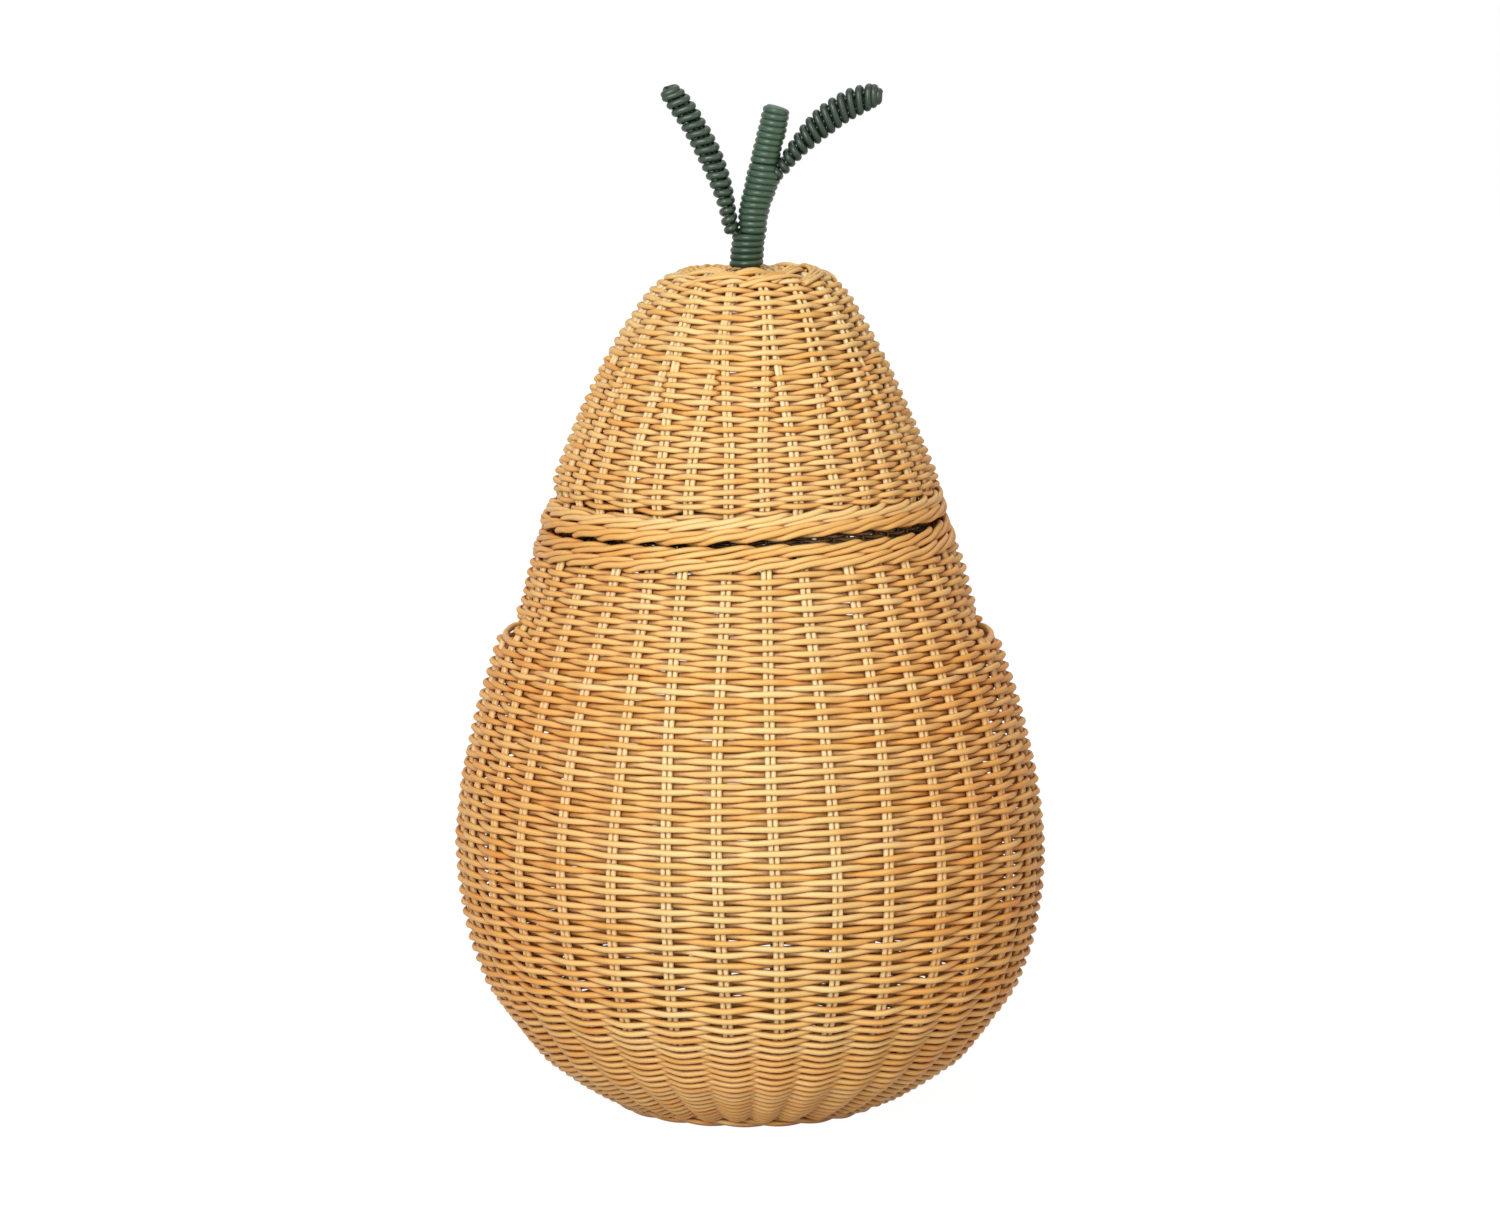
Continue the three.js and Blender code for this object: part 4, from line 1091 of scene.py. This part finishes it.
def layOut(leaf):  # bound points beside the stem, and the blade's line by its length
    tail = stem["coreRadius"] + stem["gap"] + stem["rodDiameter"] / 2
    exitAt = leaf["exit"]
    start = beside(leaf, exitAt + wrapping["leafGap"] + leaf["drop"], tail + leaf["standOff"])
    side = leaf["side"]
    control = start + np.array([side * leaf["bend"][0], 0, leaf["bend"][1]])
    tip = start + np.array([side * leaf["reach"], 0, leaf["rise"]])
    t = lineShare[:, None]
    line = (1 - t) ** 2 * start + 2 * t * (1 - t) * control + t ** 2 * tip
    along = directions(line)
    bound = [
        beside(leaf, exitAt - stem["tailReach"], tail),
        beside(leaf, exitAt - stem["tailReach"] / 2, tail),
        beside(leaf, exitAt - wrapping["leafGap"] + leaf["drop"] / 2, tail + leafForm["firstOut"]),
        beside(leaf, exitAt + leaf["drop"], tail + leafForm["stepOut"] + stem["gap"]),
    ]
    steps = leafForm["rootSteps"]
    root = smoothLine([*bound[-2:], line[0], line[leafForm["rootAhead"]]], steps)[steps:2 * steps]
    leaf["line"] = np.concatenate([root, line])
    leaf["along"] = np.concatenate([np.repeat(along[:1], len(root), axis=0), along])
    lengths = runLengths(leaf["line"])
    leaf["rootLength"] = lengths[len(root)]
    leaf["lengths"] = lengths - leaf["rootLength"]
    leaf["length"] = leaf["lengths"][-1]
    leaf["tipShare"] = 1 - (leafForm["tipSpread"] + leafForm["cover"]) / leaf["length"]
    leaf["bound"] = bound


def bladeFrame(leaf, share):
    at = np.asarray(share, float) * leaf["length"]
    along = lineAt(at, leaf["lengths"], leaf["along"])
    return lineAt(at, leaf["lengths"], leaf["line"]), along, np.cross(frontToBack, along)


def leafHalfWidths(leaf, share):
    taper = smoothStep(share, leaf["taperStart"], leafForm["taperEnd"])
    opening = smoothStep(share, 0, leaf["openShare"])
    across = leaf["spread"] * opening - (leaf["spread"] - leafForm["tipSpread"]) * taper
    apart = stem["rodDiameter"] + stem["gap"]
    deep = np.sqrt(np.maximum(0, apart ** 2 - across ** 2)) * (share < leaf["taperStart"])
    return across, deep


def ribStrand(leaf):
    shares = np.linspace(0, 1 - leafForm["ribSetback"] / leaf["length"], leafForm["bladePoints"])
    points = leaf["bound"] + list(bladeFrame(leaf, shares)[0])
    return strand(smoothLine(points, leafForm["ribSteps"]), stem["rodDiameter"], ownTone())


def edgeStrand(leaf):
    apart = stem["rodDiameter"] + stem["gap"]
    ring = stem["coreRadius"] + stem["gap"] + stem["rodDiameter"] / 2
    turn = 2 * math.asin(apart / 2 / ring)
    inward = -leaf["side"] * ring * (1 - math.cos(turn))
    tipPoint, tipAlong, tipRight = bladeFrame(leaf, leaf["tipShare"])

    def hairpin(degrees):
        angle = math.radians(degrees)
        return tipPoint + leafForm["tipSpread"] * (tipAlong * math.cos(angle) + tipRight * math.sin(angle))

    legs = []
    for hand in (1, -1):
        points = []
        for i, point in enumerate(leaf["bound"]):
            shift = inward if i < len(leaf["bound"]) - 1 else inward / 2
            points.append(point + np.array([shift, hand * apart, 0]))
        for share in np.linspace(0, leaf["tipShare"], leafForm["bladePoints"]):
            point, along, right = bladeFrame(leaf, share)
            across, deep = leafHalfWidths(leaf, share)
            points.append(point + right * hand * across + frontToBack * hand * deep)
        legs.append(points + [hairpin(hand * leafForm["hairpinTurn"])])
    path = legs[0] + [hairpin(0)] + legs[1][::-1]
    return strand(smoothLine(path, leafForm["edgeSteps"]), stem["rodDiameter"], ownTone())


def leafWinding(leaf, diameter, inset, offset):  # one rod round and round the blade, up to its tip
    low = leafForm["bare"] - leaf["rootLength"]
    high = leaf["length"] - diameter / 2
    last = (high - low) / leafForm["pitch"]
    turns = last + 1 - offset
    around = np.linspace(offset, offset + turns, int(turns * leafForm["stepsPerTurn"]))
    share = np.interp(around, (0, last - 1, last + 1), (low, high - leafForm["pitch"], high)) / leaf["length"]
    turn = fullTurn * around
    across, deep = leafHalfWidths(leaf, share)
    rod = stem["rodDiameter"] / 2 + diameter / 2 - inset
    closeFrom = 1 - leafForm["closeTurns"] * leafForm["pitch"] / leaf["length"]
    shut = np.clip((share - closeFrom) / (high / leaf["length"] - closeFrom), 0, 1)
    close = np.sqrt(1 - leafForm["closing"] * shut ** 2)
    wide = (across + rod) * close
    thick = (deep * leafForm["deepShare"] + rod) * close
    power = leafForm["squareness"]
    square = (np.abs(np.cos(turn)) ** power + np.abs(np.sin(turn)) ** power) ** (-1 / power)
    askew = smoothStep(share, 0, leafForm["skewReach"])
    skew = leaf["skew"] * wide * np.cos(turn) * askew * close / leaf["length"]
    point, along, right = bladeFrame(leaf, share + skew)
    points = point + right * (wide * square * np.cos(turn))[:, None]
    points = points - frontToBack * (leaf["side"] * thick * square * np.sin(turn))[:, None]
    knots = np.arange(int(offset), int(offset + turns) + 2)
    own = 1 + leafForm["waver"] * np.interp(around, knots, chance.normal(0, 1, len(knots)))
    return strand(points, diameter * own, ownTone())


for name, leaf in leaves.items():
    layOut(leaf)
    parts = (
        ("_rib", "_leaf_rib", [ribStrand(leaf)]),
        ("_edge", "_leaf_edge_rod", [edgeStrand(leaf)]),
        ("_binding", "_leaf_weave", [leafWinding(leaf, **rod) for rod in leafRods]),
    )
    for part, node, strands in parts:
        strandPiece(name + part, strands, leafRattan, "lid", [name + node], sides=12)

# Floor, lamps and world

studio = {
    "floorSize": 12.0,
    "floorColor": linear(0.7, 0.7, 0.7),
    "floorRoughness": 0.9,
    "floorGlow": (0.88, 1.0),  # share of plain white, near the basket and far from it
    "floorGlowReach": (0.25, 0.9),
    "floorGlowStrength": 1.12,
    "worldStrength": 0.15,
    "worldColor": (1, 0.84, 0.6, 1),
    "aim": (0, 0, 0.28),
}
lamps = {
    "keyLamp": {"power": 87, "size": 1.9, "place": (-0.85, -2.8, 1.45), "color": (1, 1, 1)},
    "fillLamp": {"power": 12, "size": 2.0, "place": (2.0, -1.8, 0.9), "color": (1, 0.84, 0.6)},
    "topLamp": {"power": 12, "size": 1.6, "place": (0.2, 0.4, 2.4), "color": (1, 1, 1)},
}


def seenDirectly(tree):  # 1 on camera, glossy and transmitted rays
    path = addNode(tree, "LightPath").outputs
    seen = maths(tree, "MAXIMUM", path["Is Camera Ray"], path["Is Glossy Ray"])
    return maths(tree, "MAXIMUM", seen, path["Is Transmission Ray"])


def mixShaders(tree, share, first, second):
    return addNode(tree, "MixShader", {0: share, 1: first, 2: second}).outputs[0]


def addWorld():
    world = bpy.data.worlds.new("studioWorld")
    world.use_nodes = True
    tree = world.node_tree
    plain = tree.nodes["Background"]
    plain.inputs["Color"].default_value = studio["worldColor"]
    plain.inputs["Strength"].default_value = studio["worldStrength"]
    white = addNode(tree, "Background", {"Color": (1, 1, 1, 1), "Strength": 1}).outputs[0]
    mixed = mixShaders(tree, seenDirectly(tree), plain.outputs[0], white)
    tree.links.new(mixed, tree.nodes["World Output"].inputs["Surface"])
    bpy.context.scene.world = world


def addLamp(name, power, size, place, color):
    data = bpy.data.lights.new(name, "AREA")
    data.energy = power
    data.color = color
    data.size = size
    data.shape = "DISK"
    lamp = addObject(name, data)
    lamp.location = place
    lamp.rotation_euler = (Vector(studio["aim"]) - Vector(place)).to_track_quat("-Z", "Y").to_euler()


def addFloor():
    shape = bmesh.new()
    bmesh.ops.create_grid(shape, x_segments=1, y_segments=1, size=studio["floorSize"] / 2)
    mesh = bpy.data.meshes.new("floor")
    shape.to_mesh(mesh)
    shape.free()
    material, tree, shader = newMaterial("floorPaper")
    shader.inputs["Base Color"].default_value = studio["floorColor"]
    shader.inputs["Roughness"].default_value = studio["floorRoughness"]
    place = addNode(tree, "TexCoord").outputs["Object"]
    away = addNode(tree, "VectorMath", {0: place}, operation="LENGTH").outputs["Value"]
    glow = remap(tree, away, *studio["floorGlow"], *studio["floorGlowReach"])
    glow = maths(tree, "MULTIPLY", glow, seenDirectly(tree))
    glowing = {"Color": (1, 1, 1, 1), "Strength": studio["floorGlowStrength"]}
    white = addNode(tree, "Emission", glowing).outputs[0]
    mixed = mixShaders(tree, glow, shader.outputs[0], white)
    under = addNode(tree, "NewGeometry").outputs["Backfacing"]  # seen through from below
    clear = addNode(tree, "BsdfTransparent").outputs[0]
    mixed = mixShaders(tree, under, mixed, clear)
    tree.links.new(mixed, tree.nodes["Material Output"].inputs["Surface"])
    mesh.materials.append(material)
    addObject("floor", mesh)


addWorld()
addFloor()
for name, settings in lamps.items():
    addLamp(name, **settings)
bpy.context.scene.view_settings.view_transform = "Standard"
print("studio made")
